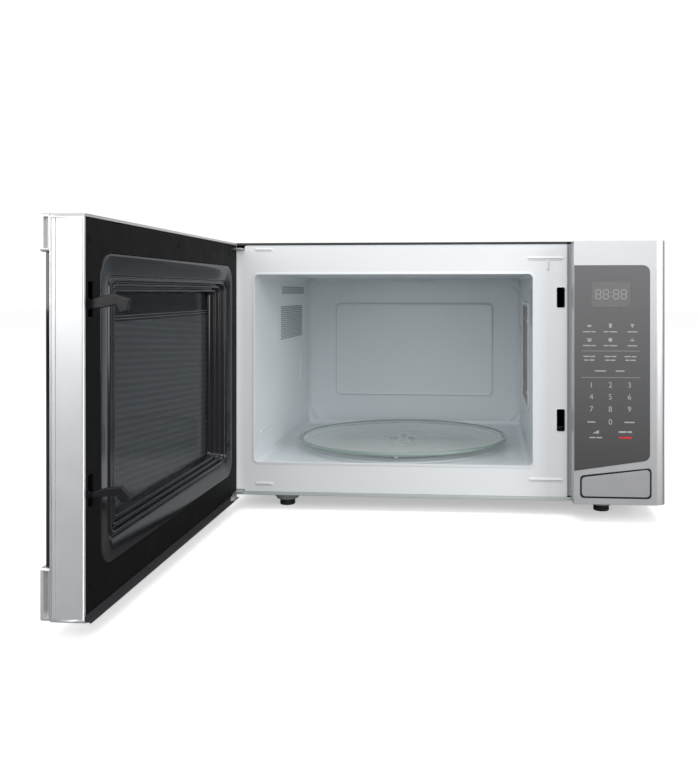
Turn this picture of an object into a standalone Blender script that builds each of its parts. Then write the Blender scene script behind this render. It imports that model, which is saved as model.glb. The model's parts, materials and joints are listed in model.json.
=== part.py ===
"""Countertop microwave oven with a side-hinged door, modelled with the door open by 90 degrees.

Metres, +Z up, -Y towards the user. The origin is under the middle of the open oven's outline, at the
feet's underside. Each physical piece is one object. The door's pieces are drawn in the door's own frame,
closed: x runs from the hinge pins to the free edge, y from the glass to the cavity and z up. An empty on
the pins turns them open.
"""
import math

import bmesh
import bpy
import numpy as np
from mathutils import Matrix, Vector

# Cabinet
CABINET_WIDTH = 0.5204
CABINET_DEPTH = 0.3899        # front plate to rear panel
CABINET_TOP = 0.3258
SHEET = 0.0010                # cavity and case sheet metal
GAP = 0.0003                  # clearance kept between touching pieces
PAN_BOTTOM = 0.0177
PAN_TOP = 0.0219
PLATE_BOTTOM = 0.0221
PLATE_TOP = 0.3240
PLATE_THICK = 0.0012

# Door, with its hinge pins
DOOR_WIDTH = 0.4152
DOOR_BOTTOM = 0.0158
DOOR_TOP = 0.3250
TRIM_FACE = -0.0277           # outer face of the trims, from the pin axis
GLASS_FACE = -0.0238          # outer face of the glass
DOOR_BACK = 0.0066            # inner face
HINGE_END = 0.0070            # door edge beyond the pin axis
PIN_INSET = 0.0067            # pin axis in from the cabinet's left side
PIN_AHEAD = 0.0081            # pin axis ahead of the front plate
HOOK_X = 0.3975               # hooks, from the pin axis
OPEN_ANGLE = math.radians(90)

# The open door and the gland decide where the outline's middle is
GLAND_PROUD = 0.0025
DOOR_OUT = -TRIM_FACE - PIN_INSET
DOOR_REACH = PIN_AHEAD + DOOR_WIDTH - HINGE_END
RIGHT = (CABINET_WIDTH + DOOR_OUT) / 2
LEFT = RIGHT - CABINET_WIDTH
REAR = (CABINET_DEPTH + DOOR_REACH - GLAND_PROUD) / 2
FRONT = REAR - CABINET_DEPTH
PIN_X = LEFT + PIN_INSET
PIN_Y = FRONT - PIN_AHEAD

# Cavity, measured from the cabinet's left side and the front plate
OPEN_LEFT = LEFT + 0.0333
OPEN_RIGHT = LEFT + 0.3720
OPEN_BOTTOM = 0.0579
OPEN_TOP = 0.2875
FLOOR = 0.0535
CAVITY_BACK = FRONT + 0.3430
PLATE_RIGHT = LEFT + 0.4120
SLOT_LEFT = LEFT + 0.4001
SLOT_RIGHT = LEFT + 0.4095
SLOTS = ((0.0999, 0.1265), (0.2472, 0.2714))

# Turntable
TABLE_X = LEFT + 0.2026
TABLE_Y = FRONT + 0.1600
TRAY_RADIUS = 0.1445
TRAY_BOTTOM = 0.0617
RING_RADIUS = 0.0980
WHEEL_RADIUS = 0.0038
WHEEL_X = 0.1045
WHEEL_Z = FLOOR + GAP + WHEEL_RADIUS

# Control panel
PANEL_LEFT = LEFT + 0.4164
PANEL_FLAT = LEFT + 0.5082
PANEL_FACE = FRONT - 0.0340
PANEL_BOTTOM = 0.0220
PANEL_TOP = 0.3248
PANEL_WALL = 0.0025
BUTTON_LEFT = LEFT + 0.4256
BUTTON_RIGHT = LEFT + 0.5022
LEVER_Y = FRONT + 0.0090
LEVER_Z = 0.0940

# Feet
FOOT_RADIUS = 0.0095
FOOT_HEIGHT = 0.0072
FEET_X = (LEFT + 0.068, RIGHT - 0.064)
FEET_Y = (FRONT + 0.032, REAR - 0.050)

# name: (colour, roughness, metallic, alpha)
FINISHES = {
    "white_enamel": ((0.74, 0.76, 0.78), 0.35, 0.0, 1.0),
    "silver_paint": ((0.66, 0.67, 0.68), 0.32, 0.6, 1.0),
    "black_paint": ((0.015, 0.015, 0.017), 0.45, 0.0, 1.0),
    "black_gloss": ((0.010, 0.011, 0.013), 0.12, 0.0, 1.0),
    "dark_glass": ((0.012, 0.012, 0.014), 0.05, 0.0, 1.0),
    "clear_film": ((0.30, 0.34, 0.37), 0.10, 0.0, 0.35),
    "tray_glass": ((0.45, 0.55, 0.53), 0.08, 0.0, 0.35),
    "steel": ((0.55, 0.56, 0.57), 0.35, 1.0, 1.0),
    "cast_aluminium": ((0.62, 0.63, 0.64), 0.45, 1.0, 1.0),
    "copper_wire": ((0.55, 0.23, 0.10), 0.35, 1.0, 1.0),
    "grey_keypad": ((0.11, 0.11, 0.115), 0.40, 0.0, 1.0),
    "white_plastic": ((0.75, 0.75, 0.72), 0.45, 0.0, 1.0),
    "black_rubber": ((0.02, 0.02, 0.02), 0.75, 0.0, 1.0),
    "mica": ((0.42, 0.38, 0.34), 0.60, 0.0, 1.0),
    "board_green": ((0.03, 0.16, 0.08), 0.45, 0.0, 1.0),
}

# Local axes of a flat outline whose thickness runs along the named axis
PLANES = {
    "Z": Matrix(((1, 0, 0), (0, 1, 0), (0, 0, 1))),
    "Y": Matrix(((1, 0, 0), (0, 0, -1), (0, 1, 0))),
    "X": Matrix(((0, 0, 1), (1, 0, 0), (0, 1, 0))),
}

parts = bpy.data.collections.new("microwave_oven")
cutters = bpy.data.collections.new("cutters")


# ---------------------------------------------------------------- helpers
def clear_scene():
    for thing in list(bpy.data.objects):
        bpy.data.objects.remove(thing, do_unlink=True)
    bpy.context.scene.collection.children.link(parts)
    bpy.context.scene.collection.children.link(cutters)


def finish(name):
    """The material of this name, made once."""
    material = bpy.data.materials.get(name)
    if material is None:
        color, roughness, metallic, alpha = FINISHES[name]
        material = bpy.data.materials.new(name)
        material.use_nodes = True
        shader = material.node_tree.nodes["Principled BSDF"]
        shader.inputs["Base Color"].default_value = (*color, 1.0)
        shader.inputs["Roughness"].default_value = roughness
        shader.inputs["Metallic"].default_value = metallic
        shader.inputs["Alpha"].default_value = alpha
    return material


def add(name, mesh, material, at=(0, 0, 0), parent=None):
    """Puts a mesh in the scene. With no material it is a cutter."""
    thing = bpy.data.objects.new(name, mesh)
    thing.location = at
    thing.parent = parent
    if material:
        mesh.materials.clear()
        mesh.materials.append(finish(material))
        parts.objects.link(thing)
    else:
        thing.hide_render = True
        thing.display_type = "WIRE"
        cutters.objects.link(thing)
    return thing


def empty(name, at, turn=0.0):
    """A pivot that carries moving pieces."""
    thing = bpy.data.objects.new(name, None)
    thing.location = at
    thing.rotation_euler = (0, 0, turn)
    parts.objects.link(thing)
    return thing


def block(name, low, high, material=None, at=(0, 0, 0), parent=None):
    """A box between two corners, with its origin at the given point."""
    low, high, at = Vector(low), Vector(high), Vector(at)
    size = Matrix.Diagonal((*(high - low), 1))
    bm = bmesh.new()
    bmesh.ops.create_cube(bm, size=1, matrix=Matrix.Translation((low + high) / 2 - at) @ size)
    mesh = bpy.data.meshes.new(name)
    bm.to_mesh(mesh)
    bm.free()
    return add(name, mesh, material, at, parent)


def rod(name, start, end, radius, material=None, sides=20, end_radius=None, at=(0, 0, 0), parent=None):
    """A cylinder, or a cone, from one point to another."""
    start, end, at = Vector(start), Vector(end), Vector(at)
    along = end - start
    turn = along.to_track_quat("Z", "Y").to_matrix().to_4x4()
    bm = bmesh.new()
    bmesh.ops.create_cone(
        bm, cap_ends=True, segments=sides, radius1=radius, depth=along.length,
        radius2=radius if end_radius is None else end_radius,
        matrix=Matrix.Translation((start + end) / 2 - at) @ turn,
    )
    mesh = bpy.data.meshes.new(name)
    bm.to_mesh(mesh)
    bm.free()
    round_shading(mesh)
    return add(name, mesh, material, at, parent)


def round_shading(mesh):
    mesh.shade_smooth()
    mesh.set_sharp_from_angle(angle=math.radians(30))


def mesh_of(curve_object):
    """A welded mesh in place of a curve object, which is removed."""
    parts.objects.link(curve_object)
    graph = bpy.context.evaluated_depsgraph_get()
    mesh = bpy.data.meshes.new_from_object(curve_object.evaluated_get(graph))
    bm = bmesh.new()
    bm.from_mesh(mesh)
    bmesh.ops.remove_doubles(bm, verts=bm.verts, dist=1e-6)
    bm.to_mesh(mesh)
    bm.free()
    bpy.data.objects.remove(curve_object, do_unlink=True)
    return mesh


def plate(name, outlines, axis, low, high, material=None, at=(0, 0, 0), parent=None):
    """Flat outlines, the first with the others as holes in it, given thickness from low to high along an
    axis. Their points are (x, y), (x, z) or (y, z), for the axis Z, Y or X."""
    curve = bpy.data.curves.new(name, "CURVE")
    curve.dimensions = "2D"
    curve.fill_mode = "BOTH"
    curve.extrude = (high - low) / 2
    for outline in outlines:
        spline = curve.splines.new("POLY")
        spline.points.add(len(outline) - 1)
        for point, (a, b) in zip(spline.points, outline):
            point.co = (a, b, 0, 1)
        spline.use_cyclic_u = True
    mesh = mesh_of(bpy.data.objects.new(name, curve))
    middle = Vector([(low + high) / 2 if letter == axis else 0.0 for letter in "XYZ"])
    mesh.transform(Matrix.Translation(middle - Vector(at)) @ PLANES[axis].to_4x4())
    bpy.data.curves.remove(curve)
    return add(name, mesh, material, at, parent)


def turned(name, profile, material, at, sides=48, parent=None, hollow=False):
    """A profile of (radius, height) points turned about +Z. It runs down its outer side. A hollow one is a
    closed loop clear of the axis."""
    count = len(profile)
    edges = [(i, i + 1) for i in range(count - 1)] + [(count - 1, 0)] * hollow
    mesh = bpy.data.meshes.new(name)
    mesh.from_pydata([(radius, 0, height) for radius, height in profile], edges, [])
    thing = add(name, mesh, material, at, parent)
    screw = thing.modifiers.new("Turn", "SCREW")
    screw.steps = screw.render_steps = sides
    screw.use_merge_vertices = True
    screw.merge_threshold = 0.00001
    screw.use_smooth_shade = True
    return thing


def spring(name, start, end, radius, wire, turns, material, parent=None):
    """A coil spring between two points."""
    start, end = Vector(start), Vector(end)
    turn = (end - start).to_track_quat("Z", "Y").to_matrix()
    length = (end - start).length
    steps = 10
    curve = bpy.data.curves.new(name, "CURVE")
    curve.dimensions = "3D"
    curve.bevel_depth = wire
    curve.bevel_resolution = 1
    curve.use_fill_caps = True
    spline = curve.splines.new("POLY")
    spline.points.add(turns * steps)
    for step, point in enumerate(spline.points):
        angle = math.tau * step / steps
        height = wire + (length - 2 * wire) * step / (turns * steps)
        place = Vector((radius * math.cos(angle), radius * math.sin(angle), height))
        point.co = (*(start + turn @ place), 1)
    mesh = mesh_of(bpy.data.objects.new(name, curve))
    mesh.shade_smooth()
    return add(name, mesh, material, (0, 0, 0), parent)


def shape(thing, operation, *others):
    """Cuts the others from a piece, joins them to it or keeps what they share."""
    for number, other in enumerate(others):
        boolean = thing.modifiers.new(f"{operation.title()} {number}", "BOOLEAN")
        boolean.operation = operation
        boolean.object = other
    return thing


def corner(center, radius, start, steps=5):
    """Points of a quarter turn about a centre, anticlockwise from a start angle in degrees."""
    angles = np.radians(np.linspace(start, start + 90, steps + 1))
    return [(center[0] + radius * math.cos(a), center[1] + radius * math.sin(a)) for a in angles]


def rounded(left, bottom, right, top, radius, steps=5):
    """A rectangle's outline with rounded corners."""
    return (
        corner((right - radius, bottom + radius), radius, -90, steps)
        + corner((right - radius, top - radius), radius, 0, steps)
        + corner((left + radius, top - radius), radius, 90, steps)
        + corner((left + radius, bottom + radius), radius, 180, steps)
    )


def rectangle(left, bottom, right, top):
    return [(left, bottom), (right, bottom), (right, top), (left, top)]


def arch(left, right, bottom, top, thick, radius):
    """The outline of a sheet bent into two sides and a roof, open below."""
    inner = radius - thick
    outer_side = corner((right - radius, top - radius), radius, 0) + corner(
        (left + radius, top - radius), radius, 90
    )
    inner_side = corner((right - radius, top - radius), inner, 0) + corner(
        (left + radius, top - radius), inner, 90
    )
    return (
        [(right, bottom)] + outer_side + [(left, bottom), (left + thick, bottom)]
        + inner_side[::-1] + [(right - thick, bottom)]
    )


# ---------------------------------------------------------------- cabinet
def make_front_plate():
    """White plate round the cavity's mouth, notched at its left corners for the hinges."""
    left, notch = LEFT + 0.0017, PIN_X + 0.0150
    outline = [
        (notch, PLATE_BOTTOM), (PLATE_RIGHT, PLATE_BOTTOM), (PLATE_RIGHT, PLATE_TOP),
        (notch + 0.004, PLATE_TOP), (notch, PLATE_TOP - 0.003), (notch, 0.3168), (left, 0.3168),
        (left, 0.0246), (notch, 0.0246),
    ]
    mouth = rounded(OPEN_LEFT, OPEN_BOTTOM, OPEN_RIGHT, OPEN_TOP, 0.0055)
    slots = [rounded(SLOT_LEFT, low, SLOT_RIGHT, high, 0.0012, 2) for low, high in SLOTS]
    plate("front_plate", [outline, mouth, *slots], "Y", FRONT, FRONT + PLATE_THICK, "white_enamel")


def make_cavity():
    """Bent walls and roof, a floor with a raised front edge, and a back, welded to the front plate."""
    front = FRONT + PLATE_THICK + GAP
    walls = arch(
        OPEN_LEFT - SHEET, OPEN_RIGHT + SHEET, FLOOR - SHEET, OPEN_TOP + SHEET, SHEET, 0.0065
    )
    plate("cavity_walls", [walls], "Y", front, CAVITY_BACK - GAP, "white_enamel")
    profile = [
        (front, FLOOR - SHEET), (CAVITY_BACK - GAP, FLOOR - SHEET), (CAVITY_BACK - GAP, FLOOR),
        (front + SHEET, FLOOR), (front + SHEET, OPEN_BOTTOM), (front, OPEN_BOTTOM),
    ]
    floor = plate(
        "cavity_floor", [profile], "X", OPEN_LEFT + GAP, OPEN_RIGHT - GAP, "white_enamel"
    )
    hole = rod(
        "cut_shaft_hole", (TABLE_X, TABLE_Y, FLOOR - 0.01), (TABLE_X, TABLE_Y, FLOOR + 0.01), 0.0065
    )
    shape(floor, "DIFFERENCE", hole)
    block(
        "cavity_back", (OPEN_LEFT - 0.008, CAVITY_BACK, FLOOR - 0.008),
        (OPEN_RIGHT + 0.008, CAVITY_BACK + SHEET, OPEN_TOP + 0.008), "white_enamel",
    )
    block(
        "waveguide_cover", (OPEN_RIGHT - 0.0010, FRONT + 0.094, 0.116),
        (OPEN_RIGHT - GAP, FRONT + 0.232, 0.246), "mica",
    )


def make_case():
    """Black wrap over the sides and top, the rear panel and the base pan with its foot bosses."""
    wrap = arch(LEFT + GAP, RIGHT - GAP, PAN_BOTTOM, CABINET_TOP, SHEET, 0.004)
    plate("case_wrap", [wrap], "Y", FRONT, REAR - GAP, "black_paint")
    inner_left, inner_right = LEFT + 0.0017, RIGHT - 0.0017
    rear = plate(
        "rear_panel", [rounded(inner_left, PAN_TOP + GAP, inner_right, CABINET_TOP - 0.0014, 0.0035, 3)],
        "Y", REAR - 0.0012, REAR, "black_paint",
    )
    gland_at = Vector((RIGHT - 0.055, REAR, 0.060))
    through = Vector((0, 0.01, 0))
    hole = rod("cut_gland_hole", gland_at - through, gland_at + through, 0.0073)
    shape(rear, "DIFFERENCE", hole)
    gland = turned(
        "cord_gland",
        [(0.0042, 0.0), (0.0095, 0.0), (0.0095, GAP - GLAND_PROUD), (0.0069, GAP - GLAND_PROUD),
         (0.0069, -0.0080), (0.0042, -0.0080)],
        "black_rubber", gland_at + Vector((0, GLAND_PROUD, 0)), sides=20, hollow=True,
    )
    gland.rotation_euler = (math.radians(-90), 0, 0)
    pan = block(
        "base_pan", (inner_left, FRONT + GAP, PAN_BOTTOM), (inner_right, REAR - 0.0015, PAN_TOP),
        "steel",
    )
    hollow = block(
        "cut_pan_hollow", (inner_left + 0.0012, FRONT + GAP + 0.0012, PAN_BOTTOM + 0.0012),
        (inner_right - 0.0012, REAR - 0.0027, PAN_TOP + 0.01),
    )
    bosses = [
        rod(f"boss_{number}", (x, y, 0.0075), (x, y, PAN_BOTTOM + 0.0006), 0.0125, sides=16,
            end_radius=0.0210)
        for number, (x, y) in enumerate((x, y) for x in FEET_X for y in FEET_Y)
    ]
    shape(pan, "DIFFERENCE", hollow)
    shape(pan, "UNION", *bosses)


def make_feet():
    names = {
        (0, 0): "front_left_foot", (0, 1): "rear_left_foot",
        (1, 0): "front_right_foot", (1, 1): "rear_right_foot",
    }
    profile = [
        (0.0, FOOT_HEIGHT), (FOOT_RADIUS, FOOT_HEIGHT), (FOOT_RADIUS, 0.001),
        (FOOT_RADIUS - 0.001, 0.0), (0.0, 0.0),
    ]
    for (column, row), name in names.items():
        turned(name, profile, "black_rubber", (FEET_X[column], FEET_Y[row], 0), sides=20)


def make_hinge(name, low, high, tab_end, pin_end):
    """A bracket through the front plate's notch, with a tab behind the plate and a riveted pin."""
    left, right = PIN_X - 0.0050, PIN_X + 0.0145
    bracket = block(name, (left, PIN_Y - 0.0055, low), (right, FRONT + 0.0040, high), "steel")
    tab = block(
        f"{name}_tab", (left, FRONT + 0.0017, min(low, tab_end)),
        (right, FRONT + 0.0040, max(high, tab_end)),
    )
    middle = (low + high) / 2
    pin = rod(f"{name}_pin", (PIN_X, PIN_Y, middle), (PIN_X, PIN_Y, pin_end), 0.0022, sides=16)
    shape(bracket, "UNION", tab, pin)


# ---------------------------------------------------------------- turntable
def make_turntable():
    """Glass tray on a motor-driven coupler, and a ring whose three wheels carry the tray."""
    center = (TABLE_X, TABLE_Y, 0)
    turned(
        "turntable_tray",
        [(0.0, 0.0650), (0.1310, 0.0650), (0.1385, 0.0677), (0.1422, 0.0682), (TRAY_RADIUS, 0.0672),
         (0.1438, 0.0656), (0.1360, TRAY_BOTTOM), (0.0, TRAY_BOTTOM)],
        "tray_glass", center, sides=64,
    )
    lobes = []
    for step in range(36):
        angle = math.tau * step / 36
        reach = 0.0150 + 0.0060 * math.cos(3 * angle)
        lobes.append((TABLE_X + reach * math.cos(angle), TABLE_Y + reach * math.sin(angle)))
    coupler = plate("turntable_coupler", [lobes], "Z", 0.0550, 0.0613, "white_plastic", center)
    shaft = rod(
        "turntable_shaft", (TABLE_X, TABLE_Y, 0.0360), (TABLE_X, TABLE_Y, 0.0560), 0.0034, sides=12
    )
    shape(coupler, "UNION", shaft)

    motor = rod(
        "turntable_motor", (TABLE_X, TABLE_Y, 0.0280), (TABLE_X, TABLE_Y, 0.0460), 0.0245, "steel", 28
    )
    bore = rod(
        "cut_motor_bore", (TABLE_X, TABLE_Y, 0.0340), (TABLE_X, TABLE_Y, 0.0480), 0.0040, sides=12
    )
    shape(motor, "DIFFERENCE", bore)

    ring = turned(
        "roller_ring",
        [(0.0865, WHEEL_Z + 0.0016), (RING_RADIUS, WHEEL_Z + 0.0016), (RING_RADIUS, WHEEL_Z - 0.0016),
         (0.0865, WHEEL_Z - 0.0016)],
        "white_plastic", center, sides=48, hollow=True,
    )
    axles = []
    for number in range(3):
        turn = math.tau * number / 3 + math.pi / 6
        out = Vector((math.cos(turn), math.sin(turn), 0))
        hub = Vector((TABLE_X, TABLE_Y, WHEEL_Z))
        axles.append(rod(f"axle_{number}", hub + out * 0.0955, hub + out * 0.1090, 0.0015, sides=10))
        wheel = turned(
            f"roller_wheel_{number + 1}",
            [(0.0019, 0.0030), (WHEEL_RADIUS - 0.0006, 0.0030), (WHEEL_RADIUS, 0.0022),
             (WHEEL_RADIUS, -0.0022), (WHEEL_RADIUS - 0.0006, -0.0030), (0.0019, -0.0030)],
            "white_plastic", hub + out * WHEEL_X, sides=20, hollow=True,
        )
        wheel.rotation_euler = out.to_track_quat("Z", "Y").to_euler()
    shape(ring, "UNION", *axles)


# ---------------------------------------------------------------- electrics
def make_microwave_source():
    """Waveguide on the cavity's right wall, the magnetron on it, and the high-voltage pieces below."""
    wall = OPEN_RIGHT + SHEET
    low, high = (wall + GAP, FRONT + 0.100, 0.150), (wall + 0.045, FRONT + 0.210, 0.215)
    guide = block("waveguide", low, high, "steel")
    hollow = block(
        "cut_waveguide", (low[0] - 0.001, low[1] + SHEET, low[2] + SHEET),
        (high[0] - SHEET, high[1] - SHEET, high[2] - SHEET),
    )
    port_at = Vector((high[0], FRONT + 0.150, 0.182))
    port = rod("cut_antenna_port", port_at - Vector((0.01, 0, 0)), port_at + Vector((0.01, 0, 0)), 0.013)
    shape(guide, "DIFFERENCE", hollow, port)

    face = high[0] + GAP
    magnetron = block(
        "magnetron", (face, FRONT + 0.108, 0.140), (face + 0.070, FRONT + 0.192, 0.224),
        "cast_aluminium",
    )
    antenna = rod(
        "antenna", port_at + Vector((0.003, 0, 0)), port_at - Vector((0.026, 0, 0)), 0.0090, sides=16
    )
    vents = [
        block(f"cut_fin_{number}", (face + 0.012 + 0.012 * number, FRONT + 0.10, 0.150),
              (face + 0.019 + 0.012 * number, FRONT + 0.20, 0.214))
        for number in range(4)
    ]
    shape(magnetron, "DIFFERENCE", *vents)
    shape(magnetron, "UNION", antenna)

    core = block(
        "transformer_core", (wall + 0.022, FRONT + 0.072, PAN_BOTTOM + 0.0015),
        (wall + 0.102, FRONT + 0.142, 0.0950), "steel",
    )
    windows = [
        block(f"cut_core_window_{side}", (wall + 0.034 + 0.034 * side, FRONT + 0.06, 0.034),
              (wall + 0.056 + 0.034 * side, FRONT + 0.16, 0.080))
        for side in range(2)
    ]
    shape(core, "DIFFERENCE", *windows)
    plate(
        "transformer_winding",
        [rounded(wall + 0.0345, FRONT + 0.064, wall + 0.0895, FRONT + 0.150, 0.006, 2),
         rectangle(wall + 0.0557, FRONT + 0.0717, wall + 0.0683, FRONT + 0.1423)],
        "Z", 0.0345, 0.0795, "copper_wire",
    )
    plate(
        "high_voltage_capacitor",
        [rounded(wall + 0.030, 0.030, wall + 0.065, 0.085, 0.0170, 4)],
        "Y", FRONT + 0.185, FRONT + 0.275, "cast_aluminium",
    )
    rod("high_voltage_diode", (wall + 0.030, FRONT + 0.290, 0.050), (wall + 0.062, FRONT + 0.290, 0.050),
        0.0035, "black_paint", 10)


def make_cooling():
    """Fan in its shroud at the rear of the right-hand compartment, and the motor behind it."""
    hub = Vector((LEFT + 0.4470, REAR - 0.0520, 0.2100))
    shroud_hole = [
        (hub.x + 0.055 * math.cos(math.tau * k / 36), hub.z + 0.055 * math.sin(math.tau * k / 36))
        for k in range(36)
    ]
    plate(
        "fan_shroud", [rectangle(LEFT + 0.3800, 0.1300, LEFT + 0.5150, 0.2900), shroud_hole],
        "Y", hub.y - 0.001, hub.y + 0.001, "white_plastic",
    )
    blades = []
    for number in range(5):
        for angle, reach in ((-12, 0.014), (-18, 0.050), (14, 0.050), (24, 0.014)):
            turn = math.radians(72 * number + angle)
            blades.append((hub.x + reach * math.cos(turn), hub.z + reach * math.sin(turn)))
    fan = plate("fan_blade", [blades], "Y", hub.y - 0.006, hub.y + 0.006, "white_plastic", hub)
    shaft = rod("fan_shaft", hub, hub + Vector((0, 0.0200, 0)), 0.0015, sides=10)
    shape(fan, "UNION", shaft)
    motor = block(
        "fan_motor", hub + Vector((-0.026, 0.0150, -0.026)), hub + Vector((0.026, 0.0420, 0.026)), "steel"
    )
    bore = rod("cut_fan_bore", hub, hub + Vector((0, 0.0240, 0)), 0.0021, sides=10)
    shape(motor, "DIFFERENCE", bore)


def make_lamp_and_boards():
    wall = OPEN_RIGHT + SHEET
    lamp = turned(
        "oven_lamp",
        [(0.0, 0.0), (0.006, -0.002), (0.0095, -0.010), (0.0080, -0.019), (0.0060, -0.028), (0.0, -0.028)],
        "tray_glass", (wall + 0.0115, FRONT + 0.028, 0.250), sides=20,
    )
    lamp.rotation_euler = (math.radians(90), 0, 0)
    block(
        "lamp_socket", (wall + 0.0030, FRONT + 0.0563, 0.240), (wall + 0.0200, FRONT + 0.078, 0.262),
        "white_plastic",
    )
    rod("thermal_cutout", (wall + GAP, FRONT + 0.240, 0.255), (wall + 0.008, FRONT + 0.240, 0.255),
        0.0085, "steel", 16)
    block(
        "noise_filter_board", (wall + 0.015, FRONT + 0.060, 0.2930),
        (wall + 0.120, FRONT + 0.150, 0.2946), "board_green",
    )


# ---------------------------------------------------------------- latch and control panel
def make_interlock():
    """Board behind the latch slots, with a catch ledge under each hook, three switches and the lever."""
    low, high = LEFT + 0.4112, LEFT + 0.4130
    outline = [
        (FRONT + 0.0020, 0.0880), (FRONT + 0.0160, 0.0880), (FRONT + 0.0160, 0.1060),
        (FRONT + 0.0420, 0.1060), (FRONT + 0.0420, 0.2830), (FRONT + 0.0020, 0.2830),
    ]
    board = plate("interlock_board", [outline], "X", low, high, "white_plastic")
    ledges = [
        block(f"ledge_{number}", (SLOT_LEFT - 0.004, FRONT + 0.0020, top - 0.0095),
              (low + 0.0005, FRONT + 0.0140, top))
        for number, top in enumerate((0.0992, 0.2465))
    ]
    pivot = rod(
        "lever_pivot", (high - 0.0005, LEVER_Y, LEVER_Z), (high + 0.0115, LEVER_Y, LEVER_Z), 0.0020,
        sides=14,
    )
    shape(board, "UNION", *ledges, pivot)
    switches = {"primary_switch": 0.2500, "monitor_switch": 0.2280, "secondary_switch": 0.1120}
    for name, height in switches.items():
        block(name, (high + GAP, FRONT + 0.0080, height),
              (high + 0.0063, FRONT + 0.0360, height + 0.0160), "black_paint")


def make_release_lever():
    """Bell crank on the interlock board: the button pushes its foot back and its toe lifts the hooks."""
    at = Vector((LEFT + 0.4220, LEVER_Y, LEVER_Z))
    outline = (
        [(LEVER_Y - 0.0075, 0.0400), (LEVER_Y - 0.0030, 0.0400), (LEVER_Y + 0.0045, LEVER_Z - 0.0060)]
        + [(FRONT + 0.0300, LEVER_Z - 0.0030), (FRONT + 0.0300, LEVER_Z + 0.0050)]
        + [(LEVER_Y + 0.0040, LEVER_Z + 0.0050), (LEVER_Y - 0.0040, LEVER_Z + 0.0050),
           (LEVER_Y - 0.0052, LEVER_Z - 0.0030)]
    )
    hole = [
        (LEVER_Y + 0.0024 * math.cos(math.tau * k / 14), LEVER_Z + 0.0024 * math.sin(math.tau * k / 14))
        for k in range(14)
    ]
    lever = plate("release_lever", [outline, hole], "X", at.x - 0.0015, at.x + 0.0015, "white_plastic", at)
    toe = block("lever_toe", (LEFT + 0.4005, FRONT + 0.0235, 0.0945), (at.x, FRONT + 0.0298, 0.0988))
    shape(lever, "UNION", toe)


def button_outline(margin):
    """The release button's face, grown by a margin. Its top slopes up to the right."""
    left, right = BUTTON_LEFT - margin, BUTTON_RIGHT + margin
    low, left_top, right_top = 0.0313 - margin, 0.0530 + margin, 0.0628 + margin
    radius = 0.0040
    return (
        corner((right - radius, low + radius), radius, -90, 4)
        + corner((right - radius, right_top - radius - 0.0004), radius, 0, 4)
        + corner((left + radius, left_top - radius + 0.0004), radius, 90, 4)
        + corner((left + radius, low + radius), radius, 180, 4)
    )


def make_release_button():
    """Push button with a plunger that reaches the lever, and its return spring."""
    middle = (BUTTON_LEFT + BUTTON_RIGHT) / 2
    plunger_x = LEFT + 0.4270
    cap = plate(
        "release_button", [button_outline(0)], "Y", PANEL_FACE - 0.0006, PANEL_FACE + 0.0090, "silver_paint"
    )
    tongue = block(
        "button_tongue", (LEFT + 0.4195, FRONT - 0.0080, 0.0420), (plunger_x, FRONT + 0.0008, 0.0480)
    )
    stem = block(
        "button_stem", (plunger_x - 0.0010, PANEL_FACE + 0.0080, 0.0420),
        (plunger_x + 0.0040, FRONT - 0.0040, 0.0480),
    )
    guide = rod(
        "button_guide", (middle, PANEL_FACE + 0.008, 0.045), (middle, FRONT - 0.006, 0.045), 0.0040,
        sides=16,
    )
    shape(cap, "UNION", stem, tongue, guide)
    spring("button_spring", (middle, PANEL_FACE + 0.0094, 0.045), (middle, FRONT - 0.0098, 0.045),
           0.0062, 0.0005, 5, "steel")


def panel_profile(inset):
    """The control panel's section seen from above, with its shallow rounded right edge."""
    right, face = RIGHT - inset, PANEL_FACE + inset
    return [
        (PANEL_LEFT + inset, face), (PANEL_FLAT - inset * 0.4, face),
        (RIGHT - 0.0075 - inset * 0.6, face + 0.0011),
        (RIGHT - 0.0030 - inset * 0.8, face + 0.0036), (right, face + 0.0080), (right, FRONT - GAP),
        (PANEL_LEFT + inset, FRONT - GAP),
    ]


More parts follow.
